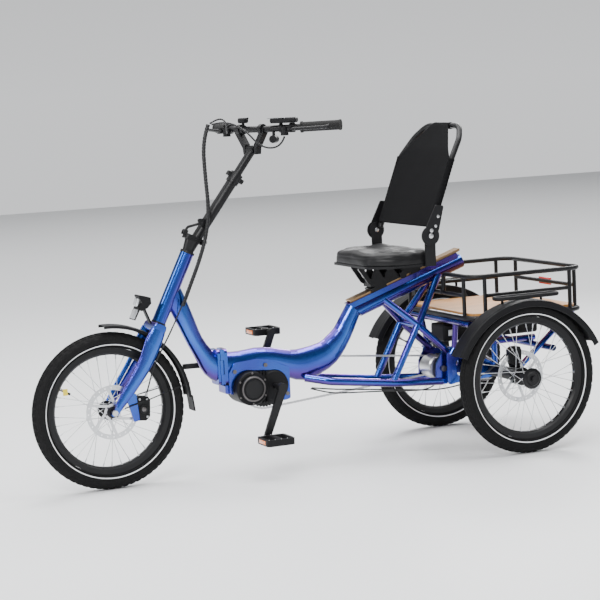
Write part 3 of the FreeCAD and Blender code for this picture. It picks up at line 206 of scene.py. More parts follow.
def roughen(material, scale, low, high, stretch=(1, 1, 1)):
    """Uneven roughness from fine noise, between low and high."""
    noise = add(material, "ShaderNodeTexNoise", Scale=scale, Detail=4.0)
    link(material, coordinates(material, stretch), "Vector", noise, "Vector")
    spread = add(material, "ShaderNodeMapRange")
    spread.inputs["To Min"].default_value = low
    spread.inputs["To Max"].default_value = high
    link(material, noise, "Fac", spread, "Value")
    link(material, spread, "Result", shader_of(material), "Roughness")
    return noise


def bump(material, source, out, strength, distance):
    node = add(material, "ShaderNodeBump")
    node.inputs["Strength"].default_value = strength
    node.inputs["Distance"].default_value = distance
    link(material, source, out, node, "Height")
    link(material, node, "Normal", shader_of(material), "Normal")


def chameleon_paint_with_painted_shade():
    """Gloss paint that runs from blue to violet over the surface's own direction, with painted shade and
    painted highlight: faces turned down are painted dark, faces turned up lighter.
    """
    paint = node_material("chameleon_paint_with_painted_shade", (0.04, 0.06, 0.6), 0.2, 0.92, Coat_Weight=0.6,
                          Coat_Roughness=0.04)
    normal = add(paint, "ShaderNodeNewGeometry")
    split = add(paint, "ShaderNodeSeparateXYZ")
    link(paint, normal, "Normal", split, "Vector")
    noise = add(paint, "ShaderNodeTexNoise", Scale=2.6, Detail=1.0)
    link(paint, coordinates(paint), "Vector", noise, "Vector")
    mix = add(paint, "ShaderNodeMath")
    mix.operation = "MULTIPLY_ADD"
    mix.inputs[1].default_value = 0.38
    link(paint, split, "Z", mix, 0)
    link(paint, noise, "Fac", mix, 2)
    # painted shade and highlight: the colour follows how far each face turns up, so faces turned down are
    # painted dark violet as shade and faces turned up a lighter violet as painted highlight; the
    # blue-to-violet hue shift between them is the paint's own
    colour = ramp(paint, mix, "Value", [(0.15, (0.022, 0.006, 0.09)), (0.34, (0.065, 0.02, 0.24)),
                                        (0.46, (0.018, 0.045, 0.36)), (0.60, (0.02, 0.12, 0.50)),
                                        (0.74, (0.07, 0.06, 0.48)), (0.90, (0.24, 0.09, 0.50))])
    link(paint, colour, "Color", shader_of(paint), "Base Color")
    flakes = add(paint, "ShaderNodeTexNoise", Scale=900.0, Detail=1.0)
    link(paint, coordinates(paint), "Vector", flakes, "Vector")
    spread = add(paint, "ShaderNodeMapRange")
    spread.inputs["To Min"].default_value = 0.14
    spread.inputs["To Max"].default_value = 0.30
    link(paint, flakes, "Fac", spread, "Value")
    link(paint, spread, "Result", shader_of(paint), "Roughness")
    return paint


def satin_black():
    black = node_material("satin_black", (0.006, 0.006, 0.007), 0.34, 0.0, Specular_IOR_Level=0.28)
    grain = roughen(black, 350.0, 0.32, 0.48)
    bump(black, grain, "Fac", 0.08, 0.0004)
    return black


def moulded_black():
    black = node_material("moulded_black", (0.006, 0.006, 0.007), 0.48, 0.0, Specular_IOR_Level=0.2)
    grain = roughen(black, 600.0, 0.42, 0.62)
    bump(black, grain, "Fac", 0.15, 0.0004)
    return black


def tyre_rubber():
    rubber = node_material("tyre_rubber", (0.008, 0.008, 0.009), 0.75, 0.0, Specular_IOR_Level=0.14)
    grain = roughen(rubber, 240.0, 0.62, 0.85)
    bump(rubber, grain, "Fac", 0.25, 0.0006)
    tint = ramp(rubber, grain, "Fac", [(0.3, (0.004, 0.004, 0.0045)), (0.8, (0.012, 0.012, 0.012))])
    link(rubber, tint, "Color", shader_of(rubber), "Base Color")
    return rubber


def grip_rubber():
    rubber = node_material("grip_rubber", (0.009, 0.009, 0.009), 0.75, 0.0, Specular_IOR_Level=0.3)
    rings = add(rubber, "ShaderNodeTexWave", Scale=90.0, Distortion=0.0)
    rings.bands_direction = "Y"
    link(rubber, coordinates(rubber), "Vector", rings, "Vector")
    bump(rubber, rings, "Fac", 0.6, 0.0012)
    return rubber


def brushed(name, colour, low, high, stretch):
    metal = node_material(name, colour, 0.3, 1.0)
    grain = roughen(metal, 60.0, low, high, stretch)
    tint = ramp(metal, grain, "Fac", [(0.25, tuple(c * 0.82 for c in colour)), (0.8, colour)])
    link(metal, tint, "Color", shader_of(metal), "Base Color")
    bump(metal, grain, "Fac", 0.05, 0.0003)
    return metal


def bamboo():
    """Light laminated bamboo: narrow strips across, long grain and a soft sheen."""
    board = node_material("bamboo", (0.78, 0.55, 0.30), 0.42, 0.0, Coat_Weight=0.25, Coat_Roughness=0.25)
    strips = add(board, "ShaderNodeTexBrick")
    strips.inputs["Scale"].default_value = 1.0
    strips.inputs["Brick Width"].default_value = 0.31
    strips.inputs["Row Height"].default_value = 0.019
    strips.inputs["Mortar Size"].default_value = 0.0006
    strips.inputs["Color1"].default_value = (0.66, 0.31, 0.08, 1)
    strips.inputs["Color2"].default_value = (0.54, 0.24, 0.055, 1)
    strips.inputs["Mortar"].default_value = (0.33, 0.17, 0.06, 1)
    link(board, coordinates(board), "Vector", strips, "Vector")
    grain = add(board, "ShaderNodeTexNoise", Scale=30.0, Detail=6.0)
    link(board, coordinates(board, (1, 22, 22)), "Vector", grain, "Vector")
    mix = add(board, "ShaderNodeMix")
    mix.data_type = "RGBA"
    mix.blend_type = "MULTIPLY"
    mix.inputs[0].default_value = 0.45
    link(board, strips, "Color", mix, 6)
    tone = ramp(board, grain, "Fac", [(0.3, (0.62, 0.55, 0.46)), (0.7, (1.0, 1.0, 1.0))])
    link(board, tone, "Color", mix, 7)
    link(board, mix, 2, shader_of(board), "Base Color")
    bump(board, grain, "Fac", 0.12, 0.0005)
    return board


def vinyl():
    """Black coated cloth with a pebbled face."""
    cloth = node_material("seat_vinyl", (0.006, 0.006, 0.007), 0.42, 0.0, Specular_IOR_Level=0.3)
    cells = add(cloth, "ShaderNodeTexVoronoi", Scale=420.0)
    link(cloth, coordinates(cloth), "Vector", cells, "Vector")
    bump(cloth, cells, "Distance", 0.3, 0.0006)
    wear = add(cloth, "ShaderNodeTexNoise", Scale=14.0, Detail=3.0)
    link(cloth, coordinates(cloth), "Vector", wear, "Vector")
    tint = ramp(cloth, wear, "Fac", [(0.3, (0.004, 0.004, 0.0045)), (0.75, (0.010, 0.010, 0.011))])
    link(cloth, tint, "Color", shader_of(cloth), "Base Color")
    return cloth


def sling_cloth():
    """Black woven sling."""
    cloth = node_material("sling_cloth", (0.006, 0.006, 0.007), 0.85, 0.0, Specular_IOR_Level=0.08)
    across_weave = add(cloth, "ShaderNodeTexWave", Scale=260.0, Distortion=0.4)
    across_weave.bands_direction = "Z"
    link(cloth, coordinates(cloth), "Vector", across_weave, "Vector")
    along = add(cloth, "ShaderNodeTexWave", Scale=260.0, Distortion=0.4)
    along.bands_direction = "Y"
    link(cloth, coordinates(cloth), "Vector", along, "Vector")
    weave = add(cloth, "ShaderNodeMath")
    weave.operation = "MULTIPLY"
    link(cloth, across_weave, "Fac", weave, 0)
    link(cloth, along, "Fac", weave, 1)
    bump(cloth, weave, "Value", 0.35, 0.0006)
    tint = ramp(cloth, weave, "Value", [(0.0, (0.003, 0.003, 0.0035)), (0.9, (0.010, 0.010, 0.011))])
    link(cloth, tint, "Color", shader_of(cloth), "Base Color")
    return cloth


def speckled(name, colour, roughness, metallic=0.0, **extra):
    """A plain finish with fine unevenness."""
    material = node_material(name, colour, roughness, metallic, **extra)
    roughen(material, 300.0, max(roughness - 0.06, 0.02), roughness + 0.06)
    return material


PAINT = chameleon_paint_with_painted_shade()
BLACK = satin_black()
PLASTIC = moulded_black()
RUBBER = tyre_rubber()
GRIP = grip_rubber()
SILVER = brushed("silver", (0.72, 0.73, 0.75), 0.22, 0.38, (1, 12, 1))
STEEL = brushed("steel", (0.60, 0.60, 0.62), 0.22, 0.42, (1, 1, 8))
DARK_STEEL = brushed("dark_steel", (0.16, 0.15, 0.15), 0.3, 0.5, (1, 1, 8))
BRONZE = brushed("bronze", (0.40, 0.26, 0.14), 0.28, 0.42, (14, 1, 1))
BOARD = bamboo()
VINYL = vinyl()
SLING = sling_cloth()
HOSE = speckled("hose_rubber", (0.008, 0.008, 0.009), 0.45, 0.0, Specular_IOR_Level=0.35)
STRIPE = speckled("reflective_stripe", (0.80, 0.81, 0.82), 0.35)
AMBER = speckled("amber_reflector", (0.85, 0.20, 0.02), 0.15, 0.0, Coat_Weight=1.0)
RED = speckled("red_reflector", (0.60, 0.01, 0.01), 0.15, 0.0, Coat_Weight=1.0)
YELLOW = speckled("yellow_tag", (0.80, 0.62, 0.03), 0.5)
LENS = speckled("lamp_lens", (0.75, 0.77, 0.80), 0.08, 0.6, Coat_Weight=1.0)
SCREEN = speckled("screen_glass", (0.02, 0.025, 0.03), 0.06, 0.0, Coat_Weight=1.0)

NODE_LOOKS = {
    PAINT: "main_tube seat_beam motor_bracket rear_triangle rear_carriage head_tube down_tube fork",
    BLACK: "fold_lever axle_housing rack_base basket_frame stem_base stem_post upper_post bar_riser "
           "handlebar stem_latch brake_lever_left brake_lever_right crank_arms chainring seat_bracket "
           "backrest_frame front_rim left_rim right_rim front_hub left_hub right_hub seat_base",
    PLASTIC: "battery motor_housing controls pedal_left pedal_right front_fender rear_fenders headlight "
             "front_caliper rear_calipers",
    GRIP: "grips",
    SILVER: "gear_hub front_axle front_spokes left_spokes right_spokes",
    DARK_STEEL: "frame_fasteners differential",
    BRONZE: "seat_rail",
    BOARD: "deck_board",
    HOSE: "rear_brake_hoses",
}


def dress_nodes():
    for material, names in NODE_LOOKS.items():
        for name in names.split():
            mesh = NODES[name].data
            mesh.materials.clear()
            mesh.materials.append(material)


# ---- shapes ------------------------------------------------------------------------------
def piece(name, verts, faces, materials, smooth=True, indices=None):
    mesh = bpy.data.meshes.new(name)
    mesh.from_pydata([tuple(v) for v in verts], [], faces)
    for material in materials if isinstance(materials, (list, tuple)) else [materials]:
        mesh.materials.append(material)
    if indices:
        mesh.polygons.foreach_set("material_index", indices)
    mesh.polygons.foreach_set("use_smooth", [smooth] * len(mesh.polygons))
    work = bmesh.new()
    work.from_mesh(mesh)
    bmesh.ops.recalc_face_normals(work, faces=work.faces)
    work.to_mesh(mesh)
    work.free()
    obj = bpy.data.objects.new(name, mesh)
    bpy.context.scene.collection.objects.link(obj)
    return obj


def sharpen(obj, degrees=35):
    """Smooth shading that keeps edges sharper than this angle."""
    work = bmesh.new()
    work.from_mesh(obj.data)
    for edge in work.edges:
        if len(edge.link_faces) == 2 and edge.calc_face_angle(0) > math.radians(degrees):
            edge.smooth = False
    work.to_mesh(obj.data)
    work.free()


def frame_along(direction):
    """Two unit vectors square to a direction."""
    d = direction.normalized()
    side = d.cross(Vector((0, 0, 1)))
    if side.length < 1e-3:
        side = d.cross(Vector((0, 1, 0)))
    side.normalize()
    return side, d.cross(side).normalized()


def sweep_mesh(path, radius_of, sides=14, closed=False):
    """Rings of points along a path. radius_of gives each ring's radius."""
    verts = []
    faces = []
    count = len(path)
    side, up = frame_along(path[1] - path[0])
    for i, point in enumerate(path):
        before = path[i - 1] if i or closed else path[0]
        after = path[(i + 1) % count] if i < count - 1 or closed else path[-1]
        d = (after - before).normalized()
        side = (side - d * side.dot(d)).normalized()
        up = d.cross(side)
        for k in range(sides):
            turn = 2 * math.pi * k / sides
            verts.append(point + (side * math.cos(turn) + up * math.sin(turn)) * radius_of(i))
    for i in range(count if closed else count - 1):
        for k in range(sides):
            a = i * sides + k
            b = i * sides + (k + 1) % sides
            c = ((i + 1) % count) * sides + (k + 1) % sides
            d = ((i + 1) % count) * sides + k
            faces.append((a, b, c, d))
    if not closed:
        faces.append(tuple(range(sides))[::-1])
        faces.append(tuple((count - 1) * sides + k for k in range(sides)))
    return verts, faces


def lathe(centre, profile, steps=72, axis=SPIN):
    """Verts and faces of a closed profile of (radius, along) turned about an axis."""
    side, up = frame_along(axis)
    verts = []
    faces = []
    rows = len(profile)
    for i in range(steps):
        turn = 2 * math.pi * i / steps
        out = side * math.cos(turn) + up * math.sin(turn)
        for r, along in profile:
            verts.append(centre + out * r + axis * along)
    for i in range(steps):
        for k in range(rows):
            a = i * rows + k
            b = i * rows + (k + 1) % rows
            c = ((i + 1) % steps) * rows + (k + 1) % rows
            d = ((i + 1) % steps) * rows + k
            faces.append((a, b, c, d))
    return verts, faces


def turned(name, centre, profile, material, steps=72, axis=SPIN):
    verts, faces = lathe(centre, profile, steps, axis)
    obj = piece(name, verts, faces, material)
    sharpen(obj)
    return obj


def bar(name, a, b, radius, material, sides=20):
    """A round bar with softly broken ends."""
    d = b - a
    edge = min(radius * 0.25, d.length * 0.3)
    path = [a, a + d.normalized() * edge, b - d.normalized() * edge, b]
    verts, faces = sweep_mesh(path, lambda i: radius - (edge if i in (0, 3) else 0), sides)
    obj = piece(name, verts, faces, material)
    sharpen(obj, 50)
    return obj


def soft_box(name, centre, size, material, turn=None, edge=0.002):
    """A box with rounded edges; turn is a rotation matrix."""
    work = bmesh.new()
    bmesh.ops.create_cube(work, size=1.0)
    for v in work.verts:
        v.co = Vector((v.co.x * size[0], v.co.y * size[1], v.co.z * size[2]))
    bmesh.ops.bevel(work, geom=list(work.edges), offset=edge, segments=3, affect="EDGES", profile=0.5)
    mesh = bpy.data.meshes.new(name)
    if turn is not None:
        bmesh.ops.transform(work, matrix=turn.to_4x4(), verts=work.verts)
    bmesh.ops.translate(work, vec=centre, verts=work.verts)
    work.to_mesh(mesh)
    work.free()
    mesh.materials.append(material)
    mesh.polygons.foreach_set("use_smooth", [True] * len(mesh.polygons))
    obj = bpy.data.objects.new(name, mesh)
    bpy.context.scene.collection.objects.link(obj)
    return obj


def joined(name, objs):
    """Several meshes as one piece."""
    for o in bpy.context.selected_objects:
        o.select_set(False)
    for o in objs:
        o.select_set(True)
    bpy.context.view_layer.objects.active = objs[0]
    bpy.ops.object.join()
    objs[0].name = name
    return objs[0]


def centre_of(node):
    low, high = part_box(node)
    return (low + high) / 2


# ---- wheels ------------------------------------------------------------------------------
WHEEL_R = 0.262
TYRE_HALF = 0.028
TYRE_MID_R = WHEEL_R - TYRE_HALF
TREAD_DEPTH = 0.0022
WALL_RECESS = 0.0008       # two raised lines stand this far above the rest of the wall
TYRE_WALL = 0.0034
TYRE_STEPS = 276
BEAD_ANGLE = 145           # degrees from the tread's middle to the bead
OUTER_ROWS = 72
INNER_ROWS = 12
SPOKES = 36


def tyre_radius(i, phi):
    """The tyre's section radius at a step round the wheel and an angle round its section."""
    across_tread = math.degrees(phi)
    row = abs(across_tread)
    r = TYRE_HALF
    if row < 62:
        if row < 12:
            knob = (i % 4) != 0
        elif row < 36:
            knob = ((i + (2 if across_tread > 0 else 0)) % 4) > 0 and not 20 < row < 25
        else:
            knob = ((i + (1 if across_tread > 0 else 3)) % 6) > 1
        groove = 12 <= row < 16 or 34 <= row < 38
        if groove or not knob:
            r -= TREAD_DEPTH
    elif not (66 < row < 70 or 104 < row < 108):
        r -= WALL_RECESS
    return r


def tyre(name, node, body):
    """Knobbly tread, plain walls and a pale stripe round each wall."""
    hub = centre_of(node)
    steps = TYRE_STEPS
    sweep = 2 * BEAD_ANGLE
    outer = [math.radians(-BEAD_ANGLE + sweep * k / OUTER_ROWS) for k in range(OUTER_ROWS + 1)]
    inner = [math.radians(BEAD_ANGLE - sweep * k / INNER_ROWS) for k in range(INNER_ROWS + 1)]
    rows = len(outer) + len(inner)
    verts = []
    faces = []
    indices = []
    for i in range(steps):
        turn = 2 * math.pi * i / steps
        out = Vector((math.cos(turn), 0, math.sin(turn)))
        for phi in outer:
            r = tyre_radius(i, phi)
            verts.append(hub + out * (TYRE_MID_R + r * math.cos(phi)) + SPIN * (r * math.sin(phi)))
        for phi in inner:
            r = TYRE_HALF - TYRE_WALL
            verts.append(hub + out * (TYRE_MID_R + r * math.cos(phi)) + SPIN * (r * math.sin(phi)))
    for i in range(steps):
        for k in range(rows):
            a = i * rows + k
            b = i * rows + (k + 1) % rows
            c = ((i + 1) % steps) * rows + (k + 1) % rows
            d = ((i + 1) % steps) * rows + k
            faces.append((a, b, c, d))
            stripe = k < OUTER_ROWS and 113 < abs(math.degrees((outer[k] + outer[k + 1]) / 2)) < 121
            indices.append(1 if stripe else 0)
    obj = piece(name, verts, faces, [RUBBER, STRIPE], True, indices)
    sharpen(obj, 28)
    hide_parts(node)
    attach(obj, body)


def rim_details(name, node, body, tagged):
    """The valve and, where the wheel has one, its tag."""
    hub = centre_of(node)
    parts = []
    turn = math.radians(152)
    out = Vector((math.cos(turn), 0, math.sin(turn)))
    parts.append(bar(name + "_valve", hub + out * 0.186, hub + out * 0.152, 0.0028, DARK_STEEL, 12))
    parts.append(bar(name + "_cap", hub + out * 0.156, hub + out * 0.146, 0.004, PLASTIC, 12))
    obj = joined(name + "_valve_stem", parts)
    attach(obj, body)
    if tagged:
        tag = soft_box(name + "_tag", hub + out * 0.166 + SPIN * -0.006, (0.016, 0.0012, 0.022), YELLOW,
                       edge=0.0004)
        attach(tag, body)


def spoke_nipples(name, node, body):
    """A row of eyelets round the rim's inner face."""
    hub = centre_of(node)
    verts = []
    faces = []
    for i in range(SPOKES):
        turn = 2 * math.pi * i / SPOKES
        out = Vector((math.cos(turn), 0, math.sin(turn)))
        place = hub + out * 0.1866 + SPIN * (0.003 if i % 2 else -0.003)
        ring_verts, ring_faces = lathe(place, [(0.0021, 0.0), (0.0036, -0.0008), (0.0036, 0.0006)], 10, out)
        base = len(verts)
        verts += ring_verts
        faces += [tuple(base + k for k in face) for face in ring_faces]
    obj = piece(name, verts, faces, STEEL)
    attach(obj, body)


def wheels():
    for label, side in (("front", 0), ("left", -1), ("right", 1)):
        body = label + "_wheel"
        tyre(label + "_tyre_tread", label + "_tyre", body)
        rim_details(label, label + "_rim", body, label == "front")
        spoke_nipples(label + "_eyelets", label + "_rim", body)
        hub = centre_of(label + "_tyre")
        if side:
            end = hub + SPIN * (side * 0.0515)
            profile = [(0.0, 0.0), (0.0085, 0.0), (0.0095, -side * 0.0012), (0.0095, -side * 0.006),
                       (0.0, -side * 0.006)]
            cap = turned(label + "_axle_cap", end, profile, STEEL, 36)
            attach(cap, body)


# ---- chains ------------------------------------------------------------------------------
CHAIN_PITCH = 0.0127
PLATE_R = 0.0038
PLATE_THICK = 0.0008
ROLLER_R = 0.0034
ROLLER_HALF = 0.0021
CHAINRING_R = 0.090
SPROCKET_R = 0.0327
DRIVE_R = 0.036


def chain_path(a, ra, b, rb):
    """Evenly spaced points round two sprockets, an even number of them, in the x-z plane."""
    gap = (b - a).length
    lean = math.atan2(b.z - a.z, b.x - a.x)
    tip = math.acos((ra - rb) / gap)
    run = math.sqrt(gap * gap - (ra - rb) ** 2)
    lengths = [run, rb * 2 * tip, run, ra * 2 * (math.pi - tip)]
    total = sum(lengths)
    count = 2 * round(total / CHAIN_PITCH / 2)
    out = []
    for i in range(count):
        s = total * i / count
        if s < lengths[0]:
            t = s / lengths[0]
            p = a + polar(ra, lean + tip)
            q = b + polar(rb, lean + tip)
            out.append(p.lerp(q, t))
        elif s < lengths[0] + lengths[1]:
            out.append(b + polar(rb, lean + tip - (s - lengths[0]) / rb))
        elif s < lengths[0] + lengths[1] + lengths[2]:
            t = (s - lengths[0] - lengths[1]) / lengths[2]
            p = b + polar(rb, lean - tip)
            q = a + polar(ra, lean - tip)
            out.append(p.lerp(q, t))
        else:
            out.append(a + polar(ra, lean - tip - (s - sum(lengths[:3])) / ra))
    return out


def polar(r, turn):
    return Vector((r * math.cos(turn), 0, r * math.sin(turn)))


def chain_links(name, a, ra, b, rb):
    """Side plates and rollers, link by link."""
    points = chain_path(a, ra, b, rb)
    verts = []
    faces = []
    count = len(points)
    for i in range(count):
        p = points[i]
        q = points[(i + 1) % count]
        d = (q - p).normalized()
        n = Vector((-d.z, 0, d.x))
        wide = 0.0030 if i % 2 else ROLLER_HALF
        for side in (-1, 1):
            plate = []
            for end, sign in ((p, -1), (q, 1)):
                for turn in (-90, -45, 0, 45, 90):
                    w = math.radians(turn * sign)
                    plate.append(end + d * (sign * PLATE_R * math.cos(w)) + n * (PLATE_R * math.sin(w)))
            waist = [(p + q) / 2 + n * 0.0026, (p + q) / 2 - n * 0.0026]
            ring = order_ring(plate[:5] + [waist[0]] + plate[5:] + [waist[1]], (p + q) / 2, d, n)
            base = len(verts)
            for y in (wide, wide - PLATE_THICK):
                verts += [v + SPIN * (side * y) for v in ring]
            size = len(ring)
            faces.append(tuple(base + k for k in range(size)))
            faces.append(tuple(base + size + k for k in range(size))[::-1])
            for k in range(size):
                after = (k + 1) % size
                faces.append((base + k, base + after, base + size + after, base + size + k))
        base = len(verts)
        for y in (-ROLLER_HALF, ROLLER_HALF):
            for k in range(8):
                verts.append(p + polar(ROLLER_R, math.pi * k / 4) + SPIN * y)
        faces.append(tuple(base + k for k in range(8)))
        faces.append(tuple(base + 8 + k for k in range(8))[::-1])
        for k in range(8):
            faces.append((base + k, base + (k + 1) % 8, base + 8 + (k + 1) % 8, base + 8 + k))
    return piece(name, verts, faces, STEEL, smooth=False)


def order_ring(points, middle, d, n):
    """The points in order round their middle."""
    return sorted(points, key=lambda v: math.atan2((v - middle).dot(n), (v - middle).dot(d)))


def chains():
    """The drive chain on the right and the final chain on the left."""
    drive = chain_links("drive_chain", at(CRANK[0], CHAINRING_Y, CRANK[1]), CHAINRING_R,
                        at(GEAR[0], CHAINRING_Y, GEAR[1]), SPROCKET_R)
    final = chain_links("final_chain", at(GEAR[0], DRIVE_Y, GEAR[1]), DRIVE_R,
                        at(WHEELBASE, DRIVE_Y, AXLE_Z), DRIVE_R)
    obj = joined("chain_links", [drive, final])
    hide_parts("chains")
    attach(obj, "rear_frame")


# ---- cables ------------------------------------------------------------------------------
def nurbs_points(points, resolution=12):
    """Points on the smooth spline of a route."""
    curve = bpy.data.curves.new("route", "CURVE")
    curve.dimensions = "3D"
    spline = curve.splines.new("NURBS")
    spline.points.add(len(points) - 1)
    for target, point in zip(spline.points, points):
        target.co = (*point, 1)
    spline.order_u = 3
    spline.use_endpoint_u = True
    spline.resolution_u = resolution
    obj = bpy.data.objects.new("route", curve)
    bpy.context.scene.collection.objects.link(obj)
    mesh = bpy.data.meshes.new_from_object(obj)
    out = [v.co.copy() for v in mesh.vertices]
    bpy.data.objects.remove(obj)
    bpy.data.curves.remove(curve)
    bpy.data.meshes.remove(mesh)
    return out


def evenly(points, step):
    """The same line in steps of one length."""
    out = [points[0]]
    carry = 0.0
    for a, b in zip(points, points[1:]):
        length = (b - a).length
        place = step - carry
        while place <= length:
            out.append(a.lerp(b, place / length))
            place += step
        carry = length - (place - step)
    out.append(points[-1])
    return out


# the routes' points, in millimetres
BUNDLE = [(404, 0, 1182), (380, -4, 1130), (376, -20, 1015), (376, -38, 904), (362, -39, 819),
          (333, -38, 736), (290, -34, 640), (268, -30, 588)]
OVER = [(413, 5, 1186), (452, 18, 1204), (494, 60, 1186), (508, 98, 1152), (518, 121, 1146)]
NEAR = [(413, -8, 1182), (450, -22, 1192), (508, -52, 1166), (556, -88, 1096), (616, -112, 1096),
        (627, -120, 1132)]
FRONT_HOSE = [(270, -45, 612), (225, -52, 530), (165, -62, 440), (142, -61, 400), (127, -58, 350),
              (118, -46, 312)]
BUNDLE_R = 0.0068
LEVER_HOSE_R = 0.0030
FRONT_HOSE_R = 0.0025
BUNDLE_CUTS = [1.3, 1.07, 0.93, 0.79, 0.0]     # heights where one length ends and the next starts
BUNDLE_STEP = 0.0022
BUNDLE_LAP = 0.0012


def wrapped(points, radius, pitch=5):
    """Rings that swell and shrink like a spiral wrap."""
    return sweep_mesh(points, lambda i: radius * (1.0 if i % pitch < pitch - 1 else 0.84), 12)


def cable_runs():
    """The bundle in one length per joint that it crosses, and the hoses at the bar."""
    line = evenly(nurbs_points([at(*p) for p in BUNDLE]), BUNDLE_STEP)
    first = None
    for k in range(4):
        run = [p for p in line if BUNDLE_CUTS[k + 1] - BUNDLE_LAP <= p.z <= BUNDLE_CUTS[k] + BUNDLE_LAP]
        verts, faces = wrapped(run, BUNDLE_R)
        obj = piece("cable_bundle_%d" % (k + 1), verts, faces, HOSE)
        sharpen(obj, 40)
        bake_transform(obj)
        if first is None:
            first = obj
    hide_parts("cable_bundle")
    for name, route in (("right_hose", OVER), ("left_hose", NEAR)):
        verts, faces = sweep_mesh(nurbs_points([at(*p) for p in route]), lambda i: LEVER_HOSE_R, 12)
        obj = piece(name, verts, faces, HOSE)
        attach(obj, "bars")
    line = nurbs_points([at(*p) for p in FRONT_HOSE])
    verts, faces = sweep_mesh(line, lambda i: FRONT_HOSE_R, 12)
    obj = piece("front_hose", verts, faces, HOSE)
    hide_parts("front_brake_hose")
    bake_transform(obj)


# ---- seat --------------------------------------------------------------------------------
def seat_outline(inset):
    """The seat's plan: narrow front, chamfered out to full width."""
    low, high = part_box("seat_cushion")
    corners = [(low.x + inset, 0.130), (low.x + 0.070, high.y - inset), (high.x - inset, high.y - inset)]
    corners += [(x, -y) for x, y in corners[::-1]]
    return corners


def rounded(corners, radius, steps=6):
    """A closed outline with round corners."""
    out = []
    count = len(corners)
    for i in range(count):
        p = Vector(corners[i])
        a = (Vector(corners[i - 1]) - p).normalized()
        b = (Vector(corners[(i + 1) % count]) - p).normalized()
        start = p + a * radius
        end = p + b * radius
        for k in range(steps + 1):
            t = k / steps
            out.append(start.lerp(p, t).lerp(p.lerp(end, t), t))
    return out


def cushion_shift(x, y):
    """How far the moulded top lies below its highest level, in metres."""
    across_seat = abs(y) / 0.19
    back = (x - (0.905 + FRONT_AXLE_X)) / 0.223
    well = math.exp(-((across_seat - 0.48) / 0.24) ** 2) * math.exp(-((back - 0.45) / 0.34) ** 2)
    nose = math.exp(-((across_seat) / 0.18) ** 2) * math.exp(-((back - 0.25) / 0.30) ** 2)
    tail = math.exp(-((back - 0.9) / 0.12) ** 2)
    return 0.013 * well - 0.003 * nose - 0.003 * tail + 0.004


def seat_cushion():
    """A moulded seat: swelled by cloth pressure, with two wells, a nose ridge and sewn side panels."""
    low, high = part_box("seat_cushion")
    outline = rounded(seat_outline(-0.0042), 0.034)
    middle = Vector((sum(p.x for p in outline) / len(outline), 0))
    floor = low.z - 0.0055
    top = high.z - 0.005
    levels = [(0.001, floor), (0.0, floor + 0.010), (0.002, floor + 0.026), (0.005, top - 0.010),
              (0.012, top - 0.003), (0.024, top)]
    verts = []
    faces = []
    count = len(outline)
    for inset, z in levels:
        for p in outline:
            inward = (middle - p).normalized() * inset
            verts.append(Vector((p.x + inward.x, p.y + inward.y, z)))
    for row in range(len(levels) - 1):
        for k in range(count):
            a = row * count + k
            b = row * count + (k + 1) % count
            faces.append((a, b, b + count, a + count))
    faces.append(tuple(range(count))[::-1])
    faces.append(tuple((len(levels) - 1) * count + k for k in range(count)))
    pad = piece("seat_pad", verts, faces, VINYL)
    swell(pad, 0.004, 0.004, low - Vector((0, 0, 0.006)), high)
    for vertex in pad.data.vertices:
        lift = min(max((vertex.co.z - floor) / (top - floor), 0.0), 1.0)
        vertex.co.z -= cushion_shift(vertex.co.x, vertex.co.y) * lift ** 3
        seam = math.exp(-((abs(vertex.co.y) - 0.090) / 0.0022) ** 2) * lift ** 4
        vertex.co.z -= 0.0012 * seam
        side = math.exp(-((vertex.co.z - low.z - 0.024) / 0.0022) ** 2)
        pull = (Vector((middle.x, 0, vertex.co.z)) - vertex.co).normalized() * (0.0016 * side)
        vertex.co += pull
    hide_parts("seat_cushion")
    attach(pad, "seat_carriage")


def swell(obj, voxel, cap, low, high):
    """Remeshes a closed shape and swells it by cloth pressure, by no more than the cap."""
    bpy.context.view_layer.objects.active = obj
    remesh = obj.modifiers.new("remesh", "REMESH")
    remesh.mode = "VOXEL"
    remesh.voxel_size = voxel
    bpy.ops.object.modifier_apply(modifier="remesh")
    rest = [v.co.copy() for v in obj.data.vertices]
    cloth = obj.modifiers.new("cloth", "CLOTH")
    cloth.settings.use_pressure = True
    cloth.settings.uniform_pressure_force = 4.0
    cloth.settings.effector_weights.gravity = 0.0
    cloth.point_cache.frame_start = 1
    cloth.point_cache.frame_end = 20
    for number in range(1, 21):
        bpy.context.scene.frame_set(number)
    shown = obj.evaluated_get(bpy.context.evaluated_depsgraph_get())
    moved = [v.co.copy() for v in shown.data.vertices]
    obj.modifiers.remove(cloth)
    bpy.context.scene.frame_set(1)
    for vertex, old, new in zip(obj.data.vertices, rest, moved):
        shift = new - old
        if shift.length > cap:
            shift = shift.normalized() * cap
        place = old + shift
        place.z = min(max(place.z, low.z + 0.0005), high.z)
        vertex.co = place
    smooth = obj.modifiers.new("smooth", "SMOOTH")
    smooth.iterations = 14
    bpy.ops.object.modifier_apply(modifier="smooth")
    obj.data.polygons.foreach_set("use_smooth", [True] * len(obj.data.polygons))


BACK_LINE = [(1116.5, 797), (1203.5, 1028), (1249, 1096), (1279.5, 1139)]
BACK_HALF = [(797, 190), (1026, 190), (1032, 183), (1085, 122), (1139, 58)]
SLEEVE_SIDE = [(1128.4, 799), (1152, 860), (1185, 946), (1215, 1024)]
TUBE_R = 0.010


def between(table, value):
    """Reads a table of (place, value) pairs, straight between them."""
    for (a, va), (b, vb) in zip(table, table[1:]):
        if value <= b:
            t = max(0.0, (value - a) / (b - a))
            return va + (vb - va) * t
    return table[-1][1]


